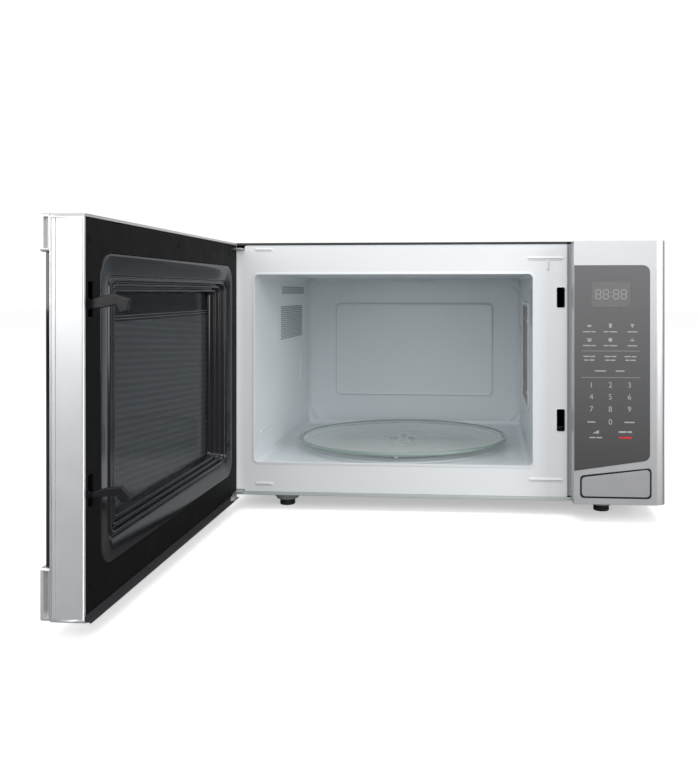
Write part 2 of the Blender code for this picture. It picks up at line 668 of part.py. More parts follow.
def make_control_panel():
    """Silver housing, open behind, with the keypad, the display window and the board in it."""
    panel = plate("control_panel", [panel_profile(0)], "Z", PANEL_BOTTOM, PANEL_TOP, "silver_paint")
    profile = [(x, y + 0.01 * (y > FRONT - 0.001)) for x, y in panel_profile(PANEL_WALL)]
    inside = plate(
        "cut_panel_inside", [profile], "Z", PANEL_BOTTOM + PANEL_WALL, PANEL_TOP - PANEL_WALL
    )
    window = block(
        "cut_display", (LEFT + 0.4363, PANEL_FACE - 0.01, 0.2503), (LEFT + 0.4806, PANEL_FACE + 0.008, 0.2760)
    )
    mouth = plate("cut_button", [button_outline(0.0008)], "Y", PANEL_FACE - 0.01, PANEL_FACE + 0.008)
    shape(panel, "DIFFERENCE", inside, window, mouth)
    middle = (BUTTON_LEFT + BUTTON_RIGHT) / 2
    shelf = block(
        "spring_shelf", (middle - 0.012, FRONT - 0.0095, 0.0235), (middle + 0.012, FRONT - 0.0080, 0.0600)
    )
    bore = rod("cut_shelf_bore", (middle, FRONT - 0.02, 0.045), (middle, FRONT, 0.045), 0.0048, sides=16)
    shape(panel, "UNION", shelf)
    shape(panel, "DIFFERENCE", bore)

    left, right, radius = PANEL_LEFT + 0.0006, LEFT + 0.5024, 0.0080
    outline = (
        corner((right - radius, 0.0723 + radius), radius, -90)
        + corner((right - radius, 0.2966 - radius), radius, 0)
        + [(left, 0.2966), (left, 0.0604)]
    )
    display = rounded(LEFT + 0.4358, 0.2498, LEFT + 0.4811, 0.2765, 0.0010, 2)
    plate("keypad", [outline, display], "Y", PANEL_FACE - 0.0010, PANEL_FACE - GAP, "grey_keypad")
    plate("display_window", [rounded(LEFT + 0.4361, 0.2501, LEFT + 0.4808, 0.2762, 0.0010, 2)],
          "Y", PANEL_FACE - 0.0010, PANEL_FACE - GAP, "dark_glass")
    block("control_board", (PANEL_LEFT + 0.006, FRONT - 0.0200, 0.0800),
          (RIGHT - 0.010, FRONT - 0.0184, 0.3000), "board_green")


# ---------------------------------------------------------------- door
def swing_corner():
    """What is rounded off the door's inner hinge-side edge, seen from above, so it swings past the plate."""
    radius, over, beyond = 0.0055, 0.0003, 0.005
    center = (radius - HINGE_END - over, DOOR_BACK - radius + over)
    return corner(center, radius, 90, 6) + [
        (-HINGE_END - beyond, center[1]), (-HINGE_END - beyond, DOOR_BACK + beyond),
        (center[0], DOOR_BACK + beyond),
    ]


def make_door(door):
    """Silver frame with outer trims and glass, and the black inner panel with the choke cover."""
    free = DOOR_WIDTH - HINGE_END
    frame = plate(
        "door_frame",
        [rounded(-HINGE_END, DOOR_BOTTOM, free, DOOR_TOP, 0.0030, 2),
         rectangle(0.0090, DOOR_BOTTOM + 0.0054, free - 0.0022, DOOR_TOP - 0.0022)],
        "Y", -0.0204, DOOR_BACK, "silver_paint", parent=door,
    )
    edge = plate("cut_swing_corner", [swing_corner()], "Z", 0.0, 0.4, parent=door)
    lip = block(
        "bottom_lip", (0.0020, 0.0050, DOOR_BOTTOM + 0.0001), (free - 0.0040, 0.0106, 0.0172), parent=door
    )
    shape(frame, "UNION", lip)
    pocket = block(
        "cut_panel_pocket", (-0.0016, 0.0050, 0.0213), (0.0200, 0.02, DOOR_TOP - 0.0024), parent=door
    )
    notches = [
        block(f"cut_hinge_notch_{name}", (-0.0120, -0.0085, low), (0.0165, 0.0200, high), parent=door)
        for name, low, high in (("low", 0.0215, 0.0247), ("high", 0.3165, 0.3199))
    ]
    bores = [
        rod(f"cut_pin_bore_{name}", (0, 0, low), (0, 0, high), 0.0026, sides=16, parent=door)
        for name, low, high in (("low", 0.0200, 0.0350), ("high", 0.3058, 0.3190))
    ]
    shape(frame, "DIFFERENCE", edge, pocket, *notches, *bores)

    for name, low, high in (("door_bottom_trim", 0.0172, 0.0577), ("door_top_trim", 0.2961, DOOR_TOP)):
        plate(name, [rounded(-HINGE_END, low, free, high, 0.0020, 2)], "Y", TRIM_FACE, -0.0207,
              "silver_paint", parent=door)
    block("door_glass", (-HINGE_END + 0.0008, GLASS_FACE, 0.0580), (free - 0.0008, -0.0207, 0.2958),
          "dark_glass", parent=door)

    panel = plate(
        "door_inner_panel",
        [rectangle(-0.0012, 0.0216, free - 0.0025, DOOR_TOP - 0.0027),
         rounded(0.0179, 0.0480, 0.3802, 0.2970, 0.0200),
         rectangle(HOOK_X - 0.0045, 0.1020, HOOK_X + 0.0040, 0.1265),
         rectangle(HOOK_X - 0.0045, 0.2465, HOOK_X + 0.0040, 0.2735)],
        "Y", 0.0053, DOOR_BACK, "black_paint", parent=door,
    )
    shape(panel, "DIFFERENCE", *notches)
    plate(
        "choke_cover",
        [rounded(0.0183, 0.0484, 0.3798, 0.2966, 0.0196), rounded(0.0600, 0.0840, 0.3380, 0.2620, 0.0120)],
        "Y", -0.0080, DOOR_BACK - 0.0006, "black_gloss", parent=door,
    )
    plate("window_film", [rounded(0.0500, 0.0740, 0.3480, 0.2720, 0.0120)], "Y", -0.0092, -0.0084,
          "clear_film", parent=door)
    plate("window_screen", [rounded(0.0400, 0.0640, 0.3580, 0.2820, 0.0120)], "Y", -0.0108, -0.0096,
          "black_paint", parent=door)


def hook_outlines():
    """Upper and lower hook, as (y, z) points from the door's inner face outwards."""
    upper = [(0.0, 0.2524), (0.0120, 0.2540), (0.0205, 0.2560), (0.0236, 0.2497), (0.0297, 0.2512),
             (0.0310, 0.2602), (0.0176, 0.2645), (0.0080, 0.2622), (0.0, 0.2599)]
    lower = [(0.0, 0.1090), (0.0120, 0.1100), (0.0205, 0.1112), (0.0250, 0.1056), (0.0297, 0.1066),
             (0.0310, 0.1110), (0.0250, 0.1180), (0.0120, 0.1165), (0.0, 0.1130)]
    return [[(DOOR_BACK + out, height) for out, height in hook] for hook in (upper, lower)]


def make_latch(door):
    """Bar with both hooks, free to slide up in the door against its spring."""
    upper, lower = hook_outlines()
    back, front = 0.0030, -0.0050
    outline = (
        [(front, 0.0980), (back, 0.0980)] + [(back, 0.1075)] + lower + [(back, 0.1145)]
        + [(back, 0.2508)] + upper + [(back, 0.2615)] + [(back, 0.2800), (front, 0.2800)]
    )
    plate("latch_bar", [outline], "X", HOOK_X - 0.0020, HOOK_X + 0.0020, "black_paint", parent=door)
    middle = (back + front) / 2
    spring("latch_spring", (HOOK_X, middle, 0.2803), (HOOK_X, middle, 0.3225), 0.0034, 0.0004, 8,
           "steel", parent=door)


def main():
    clear_scene()
    make_front_plate()
    make_cavity()
    make_case()
    make_feet()
    make_hinge("upper_hinge", 0.3172, 0.3192, 0.2950, 0.3068)
    make_hinge("lower_hinge", 0.0222, 0.0240, 0.0450, 0.0340)
    make_turntable()
    make_microwave_source()
    make_cooling()
    make_lamp_and_boards()
    make_interlock()
    make_release_lever()
    make_release_button()
    make_control_panel()
    door = empty("door_axis", (PIN_X, PIN_Y, 0), -OPEN_ANGLE)
    make_door(door)
    make_latch(door)


main()
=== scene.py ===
"""Looks of a countertop microwave oven with its door standing open.

Each sub-assembly is a class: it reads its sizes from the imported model, builds its surfaces as numpy grids
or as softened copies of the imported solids, and dresses them. Lengths are in metres, +Z is up, and -Y faces
the user.
"""
from __future__ import annotations

import json  # noqa: E402
import logging  # noqa: E402
import math  # noqa: E402
from dataclasses import dataclass, field  # noqa: E402
from enum import Enum  # noqa: E402
from functools import partial  # noqa: E402
from typing import Iterable, Sequence  # noqa: E402

import bmesh  # noqa: E402
import bpy  # noqa: E402
import numpy as np  # noqa: E402
from mathutils import Matrix, Vector  # noqa: E402


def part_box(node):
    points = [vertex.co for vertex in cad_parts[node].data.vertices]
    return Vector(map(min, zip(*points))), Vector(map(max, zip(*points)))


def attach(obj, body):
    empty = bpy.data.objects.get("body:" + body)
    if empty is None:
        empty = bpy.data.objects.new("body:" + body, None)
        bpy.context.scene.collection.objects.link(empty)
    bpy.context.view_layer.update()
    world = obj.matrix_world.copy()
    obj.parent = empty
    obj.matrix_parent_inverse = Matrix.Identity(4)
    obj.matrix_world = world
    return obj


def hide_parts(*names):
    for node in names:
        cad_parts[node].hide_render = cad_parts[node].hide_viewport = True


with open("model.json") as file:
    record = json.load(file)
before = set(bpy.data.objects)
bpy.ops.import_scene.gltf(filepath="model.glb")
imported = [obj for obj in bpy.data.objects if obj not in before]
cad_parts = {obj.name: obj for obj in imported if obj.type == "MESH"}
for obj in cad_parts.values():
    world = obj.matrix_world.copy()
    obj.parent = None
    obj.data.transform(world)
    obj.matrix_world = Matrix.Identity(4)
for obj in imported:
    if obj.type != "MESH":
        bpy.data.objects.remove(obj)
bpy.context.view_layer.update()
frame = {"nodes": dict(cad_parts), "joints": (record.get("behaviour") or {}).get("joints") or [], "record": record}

log = logging.getLogger("microwave")
Color = tuple[float, float, float]
Pair = tuple[float, float]
Box = tuple[Vector, Vector]
Mesh = bpy.types.Mesh
Thing = bpy.types.Object


# ------------------------------------------------------------------ shader graphs
class Wire:
    """One output of a shader graph. Arithmetic on it adds Math nodes."""

    def __init__(self, graph: Graph, socket: bpy.types.NodeSocket) -> None:
        """Keeps the graph and the socket."""
        self.graph = graph
        self.socket = socket

    def _math(self, operation: str, first: Wire | float, second: Wire | float) -> Wire:
        """Adds one Math node and returns its output."""
        return self.graph.node("ShaderNodeMath", {"operation": operation}, {0: first, 1: second})

    def __add__(self, other: Wire | float) -> Wire:
        """Sum."""
        return self._math("ADD", self, other)

    def __rsub__(self, other: Wire | float) -> Wire:
        """Difference from a number."""
        return self._math("SUBTRACT", other, self)

    def __mul__(self, other: Wire | float) -> Wire:
        """Product."""
        return self._math("MULTIPLY", self, other)

    def __lt__(self, other: Wire | float) -> Wire:
        """1 where this is the smaller, 0 elsewhere."""
        return self._math("LESS_THAN", self, other)


class Graph:
    """A material's node graph, with its Principled shader."""

    def __init__(self, name: str) -> None:
        """Makes an empty material of this name."""
        self.material = bpy.data.materials.new(name)
        self.material.use_nodes = True
        self.tree = self.material.node_tree
        self.shader = self.tree.nodes["Principled BSDF"]

    def node(
        self, kind: str, settings: dict[str, object] | None = None,
        inputs: dict[str | int, object] | None = None, outlet: str | int = 0,
    ) -> Wire:
        """Adds a node of any type.

        Args:
            kind: the node's type.
            settings: its properties, set first.
            inputs: values or wires for its sockets.
            outlet: which output to return.

        Returns:
            That output.
        """
        made = self.tree.nodes.new(kind)
        for key, value in (settings or {}).items():
            setattr(made, key, value)
        for key, value in (inputs or {}).items():
            self.put(made.inputs[key], value)
        return Wire(self, made.outputs[outlet])

    def put(self, socket: bpy.types.NodeSocket, value: object) -> None:
        """Links a wire to a socket, or sets the socket's own value."""
        if isinstance(value, Wire):
            self.tree.links.new(value.socket, socket)
        else:
            socket.default_value = value

    def set(self, name: str, value: object) -> None:
        """Sets or links one of the shader's sockets."""
        self.put(self.shader.inputs[name], value)

    def place(self) -> Wire:
        """The piece's own coordinates, in metres."""
        return self.node("ShaderNodeTexCoord", outlet="Object")

    def noise(self, size: float, detail: float = 2.0, stretch: Color | None = None) -> Wire:
        """A noise whose features are about this large.

        Args:
            size: the features' size in metres.
            detail: how many finer layers it has.
            stretch: how much it is squeezed along X, Y and Z.

        Returns:
            Its value, about 0.5 in the middle.
        """
        where = self.place()
        if stretch:
            where = self.node("ShaderNodeMapping", None, {"Vector": where, "Scale": stretch})
        inputs = {"Vector": where, "Scale": 1.0 / size, "Detail": detail}
        return self.node("ShaderNodeTexNoise", None, inputs)

    def axis(self, name: str) -> Wire:
        """The X, Y or Z of the piece's own coordinates."""
        return self.node("ShaderNodeSeparateXYZ", None, {0: self.place()}, name)

    def blend(self, factor: Wire | float, low: Color, high: Color) -> Wire:
        """A colour between two, by a factor."""
        inputs = {0: factor, 6: (*low, 1.0), 7: (*high, 1.0)}
        return self.node("ShaderNodeMix", {"data_type": "RGBA"}, inputs, 2)

    def bump(self, height: Wire, distance: float, strength: float = 1.0) -> None:
        """Tilts the surface by a height."""
        inputs = {"Height": height, "Distance": distance, "Strength": strength}
        self.set("Normal", self.node("ShaderNodeBump", None, inputs))


class Grain(Enum):
    """A finish's fine surface: its noise's size, detail and stretch, and its relief and strength."""

    ORANGE_PEEL = (0.0026, 1.0, None, 0.000025, 1.0)
    FLAKE = (0.0005, 1.0, None, 0.00002, 0.6)
    MOULDED = (0.0007, 2.0, None, 0.00006, 1.0)
    ROLLED = (0.0008, 2.0, (1.0, 0.05, 1.0), 0.00003, 1.0)
    POLISHED = (0.012, 1.0, None, 0.00002, 1.0)


@dataclass(frozen=True)
class Finish:
    """A paint, plastic, metal or glass, with its material slot, its grain and slight unevenness."""

    name: str
    slot: str
    color: Color
    roughness: float
    grain: Grain
    metallic: float = 0.0
    coat: float = 0.0
    alpha: float = 1.0
    uneven: float = 0.04
    specular: float = 0.5

    def tone(self, factor: float) -> Color:
        """The colour made lighter or darker by a factor."""
        return tuple(min(1.0, part * factor) for part in self.color)

    def material(self) -> bpy.types.Material:
        """Builds the material, or returns the one built before.

        Returns:
            The material.
        """
        found = bpy.data.materials.get(self.name)
        if found:
            return found
        graph = Graph(self.name)
        graph.set("Metallic", self.metallic)
        graph.set("Specular IOR Level", self.specular)
        graph.set("Coat Weight", self.coat)
        graph.set("Coat Roughness", 0.06)
        graph.set("Alpha", self.alpha)
        self.dress(graph)
        return graph.material

    def dress(self, graph: Graph) -> None:
        """Adds what varies over the surface: colour, roughness and relief."""
        cloud = graph.noise(0.06, 3.0)
        dark, light = self.tone(1 - self.uneven), self.tone(1 + self.uneven)
        graph.set("Base Color", graph.blend(cloud, dark, light))
        smear = graph.noise(0.02, 4.0)
        graph.set("Roughness", smear * (self.roughness * 0.3) + self.roughness * 0.85)
        size, detail, stretch, relief, strength = self.grain.value
        graph.bump(graph.noise(size, detail, stretch), relief, strength)


@dataclass(frozen=True)
class ReflectionPaintedFilm(Finish):
    """Keypad film: a ground with a painted reflection, paler at its top and darker at its bottom."""

    low: float = 0.06
    high: float = 0.30
    dark: float = 0.52
    light: float = 1.34

    def dress(self, graph: Graph) -> None:
        """Paints a reflection: runs the ground from dark at the bottom to pale at the top."""
        span = {"Value": graph.axis("Z"), "From Min": self.low, "From Max": self.high}
        rise = graph.node("ShaderNodeMapRange", None, span)
        graph.set("Base Color", graph.blend(rise, self.tone(self.dark), self.tone(self.light)))
        graph.set("Roughness", graph.noise(0.015, 3.0) * 0.12 + self.roughness)
        graph.bump(graph.noise(0.0006, 1.0), 0.00003)


@dataclass(frozen=True)
class PerforatedSheet(Finish):
    """Door screen: a sheet with staggered rows of small round holes, darker than the sheet."""

    pitch: float = 0.0024
    hole: float = 0.00080
    band: float = 0.0061
    band_depth: float = 0.32
    band_slope: float = 0.06
    hole_color: Color = (0.012, 0.014, 0.017)

    def dress(self, graph: Graph) -> None:
        """Two square grids of dots, half a pitch apart, are the staggered holes.

        Faint bands, as a sheet and its reflection beat, follow a sine of the height with a slight slope.
        """
        dots: list[Wire] = []
        for shift in (0.0, self.pitch / 2):
            across = self.cell(graph, "Y", shift)
            upward = self.cell(graph, "Z", shift)
            dots.append((across * across + upward * upward) < self.hole**2)
        holes = dots[0] + dots[1]
        level = graph.axis("Z") + graph.axis("Y") * self.band_slope
        turn = {0: level * (math.tau / self.band)}
        wave = graph.node("ShaderNodeMath", {"operation": "SINE"}, turn)
        open_area = holes * 0.92 + (wave * 0.5 + 0.5) * self.band_depth
        graph.set("Base Color", graph.blend(open_area, self.color, self.hole_color))
        graph.set("Roughness", graph.noise(0.02) * 0.1 + self.roughness)
        graph.bump(1.0 - holes, 0.0002)

    def cell(self, graph: Graph, axis: str, shift: float) -> Wire:
        """The signed distance to the nearest row of holes along Y or Z, the rows moved by shift."""
        inputs = {0: graph.axis(axis) + shift, 1: self.pitch / 2, 2: -self.pitch / 2}
        return graph.node("ShaderNodeMath", {"operation": "WRAP"}, inputs)


PEEL, FLAKE, MOULD, GLOSSY, ROLLED = (
    Grain.ORANGE_PEEL, Grain.FLAKE, Grain.MOULDED, Grain.POLISHED, Grain.ROLLED
)
# cavity enamel: glossier than the plate's, its own finish, and lighter, painted light for the light the deep
# cavity lacks
ENAMEL = Finish("cavity_enamel", "white_enamel", (0.845, 0.89, 0.92), 0.24, PEEL, uneven=0.012)
PLATE_ENAMEL = Finish("plate_enamel", "white_enamel", (0.82, 0.845, 0.865), 0.36, PEEL, uneven=0.012)
SILVER = Finish(
    "silver_lacquer", "silver_paint", (0.575, 0.583, 0.597), 0.40, FLAKE, metallic=0.8, uneven=0.015
)
# release button: a darker copy of the housing's silver, painted shade like the panel's darker lower part
SHADED_BUTTON_SILVER = Finish(
    "button_silver", "silver_paint", (0.49, 0.495, 0.505), 0.42, FLAKE, metallic=0.8, uneven=0.015
)
# door frame and trims: a lighter copy of the housing's silver, painted light for their brighter faces
LIT_DOOR_SILVER = Finish(
    "bright_silver", "silver_paint", (0.74, 0.75, 0.76), 0.36, FLAKE, metallic=0.75, uneven=0.015
)
BLACK_PAINT = Finish("black_case_paint", "black_paint", (0.014, 0.014, 0.015), 0.44, PEEL, uneven=0.1)
BLACK_PANEL = Finish(
    "black_door_panel", "black_paint", (0.006, 0.006, 0.006), 0.58, MOULD, uneven=0.08, specular=0.06
)
BLACK_GLOSS = Finish(
    "black_choke_cover", "black_gloss", (0.007, 0.007, 0.009), 0.13, GLOSSY, specular=0.46
)
HOOK_BLACK = Finish(
    "black_hook_plastic", "black_plastic", (0.009, 0.0095, 0.011), 0.22, MOULD, uneven=0.08,
    specular=0.32,
)
DARK_GLASS = Finish("black_backed_glass", "dark_glass", (0.010, 0.010, 0.011), 0.04, GLOSSY, coat=0.5)
FILM = Finish("window_film", "clear_film", (0.02, 0.024, 0.028), 0.05, GLOSSY, alpha=0.22)
TRAY_GLASS = Finish(
    "pressed_tray_glass", "tray_glass", (0.92, 0.985, 0.97), 0.07, GLOSSY, alpha=0.52, uneven=0.02,
    coat=0.5,
)
TRAY_EDGE = Finish(
    "tray_edge_glass", "tray_glass", (0.34, 0.45, 0.41), 0.06, GLOSSY, alpha=0.78, uneven=0.03, coat=0.6
)
STEEL = Finish("zinc_sheet", "steel", (0.46, 0.49, 0.47), 0.38, ROLLED, metallic=0.8)
BASE_STEEL = Finish("base_sheet", "steel", (0.55, 0.61, 0.60), 0.45, ROLLED, metallic=0.3)
ALUMINIUM = Finish("cast_aluminium", "cast_aluminium", (0.62, 0.63, 0.64), 0.45, MOULD, metallic=1.0)
COPPER = Finish("enamelled_copper", "copper_wire", (0.50, 0.20, 0.09), 0.35, ROLLED, metallic=0.9)
WHITE_PLASTIC = Finish("white_nylon", "white_plastic", (0.74, 0.75, 0.74), 0.42, MOULD)
PALE_HUB = Finish("pale_hub_plastic", "white_plastic", (0.88, 0.90, 0.88), 0.40, MOULD)
BLACK_PLASTIC = Finish("black_plastic", "black_plastic", (0.02, 0.02, 0.022), 0.45, MOULD, uneven=0.1)
# panel flank: a darker copy of the housing's silver, painted shade for the gap
SHADED_FLANK_SILVER = Finish("panel_flank", "silver_paint", (0.36, 0.37, 0.38), 0.40, MOULD)
# painted shadow: near-black matt sheets that stand in for the shade in slots, wells and gaps
SHADOW_BLACK = Finish("slot_black", "black_plastic", (0.006, 0.006, 0.006), 0.7, MOULD, uneven=0.1)
RUBBER = Finish("foot_rubber", "black_rubber", (0.018, 0.018, 0.018), 0.75, MOULD, uneven=0.15)
MICA = Finish("mica_sheet", "mica", (0.36, 0.33, 0.30), 0.50, MOULD, uneven=0.16)
BOARD = Finish("circuit_board", "board_green", (0.03, 0.15, 0.07), 0.40, MOULD, uneven=0.1)
# painted shade in the wall grilles' holes, and the painted reflection lines on the door screen
SHADE_AND_REFLECTION_GREY = Finish("grille_shadow", "white_enamel", (0.30, 0.33, 0.35), 0.6, MOULD, uneven=0.1)
LEGEND = Finish("printed_white", "grey_keypad", (0.36, 0.36, 0.36), 0.5, MOULD, uneven=0.02)
LEGEND_RED = Finish("printed_red", "grey_keypad", (0.62, 0.01, 0.01), 0.5, MOULD, uneven=0.02)
DIGIT = Finish("display_segment", "dark_glass", (0.33, 0.33, 0.33), 0.4, MOULD, uneven=0.02)
# keypad film, with a painted reflection that runs from dark at the bottom to pale at the top
KEYPAD_FILM = ReflectionPaintedFilm("keypad_film", "grey_keypad", (0.097, 0.098, 0.101), 0.36, MOULD)
DISPLAY_GLASS = Finish("display_glass", "dark_glass", (0.108, 0.109, 0.112), 0.22, GLOSSY, coat=0.3)
SCREEN = PerforatedSheet("perforated_screen", "black_paint", (0.37, 0.40, 0.43), 0.35, MOULD)

SLOT_FINISHES: dict[str, Finish] = {
    finish.slot: finish
    for finish in (
        ENAMEL, SILVER, BLACK_PAINT, BLACK_GLOSS, DARK_GLASS, FILM, TRAY_GLASS, STEEL, ALUMINIUM,
        COPPER, KEYPAD_FILM, WHITE_PLASTIC, BLACK_PLASTIC, RUBBER, MICA, BOARD,
    )
}


# ------------------------------------------------------------------ surfaces
@dataclass(frozen=True)
class Face:
    """A flat face that pieces are drawn on: across and up it from an origin, and out of it."""

    origin: Color
    across: Color = (1, 0, 0)
    up: Color = (0, 0, 1)

    def spread(self, points: np.ndarray) -> np.ndarray:
        """Places points of (across, up, out).

        Args:
            points: an array whose last axis is across, up and out.

        Returns:
            The origin plus each part times its direction, where out is across times up by the
            right-hand rule.
        """
        out = np.cross(self.across, self.up)
        basis = np.array([self.across, self.up, out])
        return points @ basis + np.array(self.origin)


def boxed(node: str) -> Box:
    """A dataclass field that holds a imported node's two corners."""
    return field(default_factory=partial(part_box, node))


def middle(box: Box) -> Color:
    """The middle of a box."""
    return tuple((low + high) / 2 for low, high in zip(*box))


def joint_place(name: str) -> list[float]:
    """A joint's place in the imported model."""
    return next(row for row in frame["joints"] if row["name"] == name)["pos_m"]


def unit(angle: np.ndarray) -> np.ndarray:
    """Points (cos, sin) of angles."""
    return np.stack([np.cos(angle), np.sin(angle)], axis=-1)


def lifted(outline: np.ndarray, lift: float) -> np.ndarray:
    """An outline of (across, up) at one distance out of its face."""
    return np.hstack([outline, np.full((len(outline), 1), lift)])


def grid_mesh(
    points: np.ndarray, wrap_rows: bool = False, wrap_cols: bool = False, caps: bool = False
) -> Mesh:
    """A mesh over a grid of points, one four-sided face for each cell.

    Args:
        points: rows by columns by 3.
        wrap_rows: whether the last row joins the first.
        wrap_cols: whether the last column joins the first.
        caps: whether the first and last rows are closed by a face each.

    Returns:
        The mesh.
    """
    rows, cols = points.shape[:2]
    index = np.arange(rows * cols).reshape(rows, cols)
    if wrap_rows:
        index = np.vstack([index, index[:1]])
    if wrap_cols:
        index = np.hstack([index, index[:, :1]])
    cells = np.stack([index[:-1, :-1], index[:-1, 1:], index[1:, 1:], index[1:, :-1]], axis=-1)
    faces: list[list[int]] = cells.reshape(-1, 4).tolist()
    if caps:
        faces.append(list(range(cols))[::-1])
        faces.append(list(range((rows - 1) * cols, rows * cols)))
    mesh = bpy.data.meshes.new("grid")
    mesh.from_pydata(points.reshape(-1, 3).tolist(), [], faces)
    return mesh


def ring_mesh(points: np.ndarray) -> Mesh:
    """A mesh whose rows and columns both close, as on a picture frame."""
    return grid_mesh(points, wrap_rows=True, wrap_cols=True)


def capped_mesh(points: np.ndarray) -> Mesh:
    """A stack of outlines with a face at each end."""
    return grid_mesh(points, wrap_cols=True, caps=True)


def loop(width: float, height: float, radius: float, steps: int = 8) -> np.ndarray:
    """A rectangle's outline with round corners, centred on 0.

    Each corner's points are its centre plus the radius times (cos, sin) of angles over its quarter turn.

    Args:
        width: size across.
        height: size up.
        radius: the corners' radius.
        steps: cells in each corner.

    Returns:
        An array of 4 * (steps + 1) points of 2.
    """
    turns = np.linspace(0, math.pi / 2, steps + 1)
    quarter = np.arange(4)[:, None] * math.pi / 2 + turns[None, :]
    side = np.array([[1, 1], [-1, 1], [-1, -1], [1, -1]])[:, None, :]
    centers = side * np.array([width / 2 - radius, height / 2 - radius])
    return (centers + radius * unit(quarter)).reshape(-1, 2)


def loft(
    width: float, height: float, radius: float, stations: Iterable[Pair], steps: int = 8
) -> np.ndarray:
    """Nested outlines at different heights.

    Args:
        width: the outer outline's size across.
        height: its size up.
        radius: its corners' radius.
        stations: (inset, lift) of each outline, where inset shrinks the rectangle on all sides and its
            corner radius by as much, down to a tenth of it.
        steps: cells in each corner.

    Returns:
        Rows of outlines, as points of (across, up, out).
    """
    return np.array([
        lifted(loop(width - 2 * inset, height - 2 * inset, max(radius - inset, radius * 0.1), steps), lift)
        for inset, lift in stations
    ])


def smooth_profile(points: Sequence[Pair], radius: float, steps: int = 4) -> list[Pair]:
    """A bent line with its inner corners rounded.

    Each corner is a quadratic curve from a point before it to a point after it: the corner's weight is
    2t(1 - t), and the two points' are (1 - t) squared and t squared.

    Args:
        points: the bent line.
        radius: how far from a corner its rounding starts, at most 45% of the shorter neighbour.
        steps: cells in each rounding.

    Returns:
        The rounded line.
    """
    line = [np.array(point, float) for point in points]
    result = [line[0]]
    t = np.linspace(0, 1, steps + 1)[:, None]
    for before, here, after in zip(line, line[1:], line[2:]):
        back, ahead = before - here, after - here
        reach = min(radius, 0.45 * np.linalg.norm(back), 0.45 * np.linalg.norm(ahead))
        start = here + back / np.linalg.norm(back) * reach
        end = here + ahead / np.linalg.norm(ahead) * reach
        result.extend((1 - t) ** 2 * start + 2 * t * (1 - t) * here + t**2 * end)
    result.append(line[-1])
    return [tuple(point) for point in result]


def turned(profile: Sequence[Pair], center: Sequence[float], sides: int = 96) -> np.ndarray:
    """A profile of (radius, height) turned about a vertical axis.

    Args:
        profile: the points.
        center: x, y and z of the axis's foot.
        sides: cells round the turn.

    Returns:
        A grid: radius times (cos, sin) of the angle, and the height, plus the centre.
    """
    radius, height = np.array(profile, float).T[:, :, None]
    angle = np.linspace(0, math.tau, sides, endpoint=False)[None, :]
    flat = np.broadcast_to(height, (len(profile), sides))
    grid = np.stack([radius * np.cos(angle), radius * np.sin(angle), flat], axis=-1)
    return grid + np.array(center, float)


def joined(meshes: Iterable[Mesh]) -> Mesh:
    """Several meshes as one, each still its own shell.

    Args:
        meshes: the meshes, which are used up.

    Returns:
        One mesh with all their faces.
    """
    work = bmesh.new()
    for mesh in meshes:
        work.from_mesh(mesh)
        bpy.data.meshes.remove(mesh)
    result = bpy.data.meshes.new("joined")
    work.to_mesh(result)
    work.free()
    return result


def prism(outline: np.ndarray, face: Face, low: float, high: float) -> Mesh:
    """A flat outline of (across, up) given thickness, between two distances out of its face."""
    return capped_mesh(face.spread(np.array([lifted(outline, lift) for lift in (low, high)])))


def block(low: Sequence[float], high: Sequence[float]) -> Mesh:
    """A box between two corners, as a prism standing on a level face.

    Args:
        low: its lowest corner.
        high: its highest corner.

    Returns:
        The mesh.
    """
    outline = loop(high[0] - low[0], high[1] - low[1], 1e-5, 1)
    center = ((low[0] + high[0]) / 2, (low[1] + high[1]) / 2, 0.0)
    return prism(outline, Face(center, up=(0, 1, 0)), low[2], high[2])


def bar(center: Pair, width: float, height: float, face: Face, low: float, high: float) -> Mesh:
    """A short bar with slightly round corners, standing on a face."""
    return prism(loop(width, height, min(width, height) * 0.2, 2) + np.array(center), face, low, high)


def bead(width: float, height: float, rise: float, face: Face, center: Pair) -> Mesh:
    """A pressed bead: a long dome whose outlines shrink as its lift follows a sine.

    Args:
        width: its size across.
        height: its size up.
        rise: its lift at the middle.
        face: the face it is pressed in.
        center: its middle on that face.

    Returns:
        A closed mesh, with its foot just inside the face.
    """
    reach = min(width, height) / 2
    stations = [(0.0, -0.0002)]
    for part in np.linspace(0, 0.96, 8):
        stations.append((reach * part, rise * math.sin(part * math.pi / 2) ** 1.5))
    points = loft(width, height, reach * 0.999, stations, 5)
    points[..., :2] += center
    return capped_mesh(face.spread(points))


def disc_field(centers: np.ndarray, radius: float, face: Face, lift: float, sides: int = 8) -> Mesh:
    """Many small shallow cups, each a ring of faces round a sunken one.

    Args:
        centers: their middles, as points of (across, up).
        radius: their radius.
        face: the face they are on.
        lift: how far their rims stand out of it.
        sides: corners of each.

    Returns:
        One mesh: a cup's points are its centre plus a radius times (cos, sin), on three circles.
    """
    circle = unit(np.linspace(0, math.tau, sides, endpoint=False))
    rings = []
    for share, out in ((1.0, 0.0), (0.96, lift), (0.75, lift * 0.4)):
        flat = centers[:, None, :] + circle[None, :, :] * radius * share
        rings.append(np.concatenate([flat, np.full((*flat.shape[:2], 1), out)], axis=-1))
    points = face.spread(np.stack(rings, axis=1))
    index = np.arange(points.size // 3).reshape(len(centers), 3, sides)
    turned_on = np.roll(index, -1, axis=2)
    walls = [index[:, :-1], turned_on[:, :-1], turned_on[:, 1:], index[:, 1:]]
    faces: list[list[int]] = np.stack(walls, axis=-1).reshape(-1, 4).tolist()
    faces += index[:, 2].tolist() + index[:, 0, ::-1].tolist()
    mesh = bpy.data.meshes.new("cups")
    mesh.from_pydata(points.reshape(-1, 3).tolist(), [], faces)
    return mesh


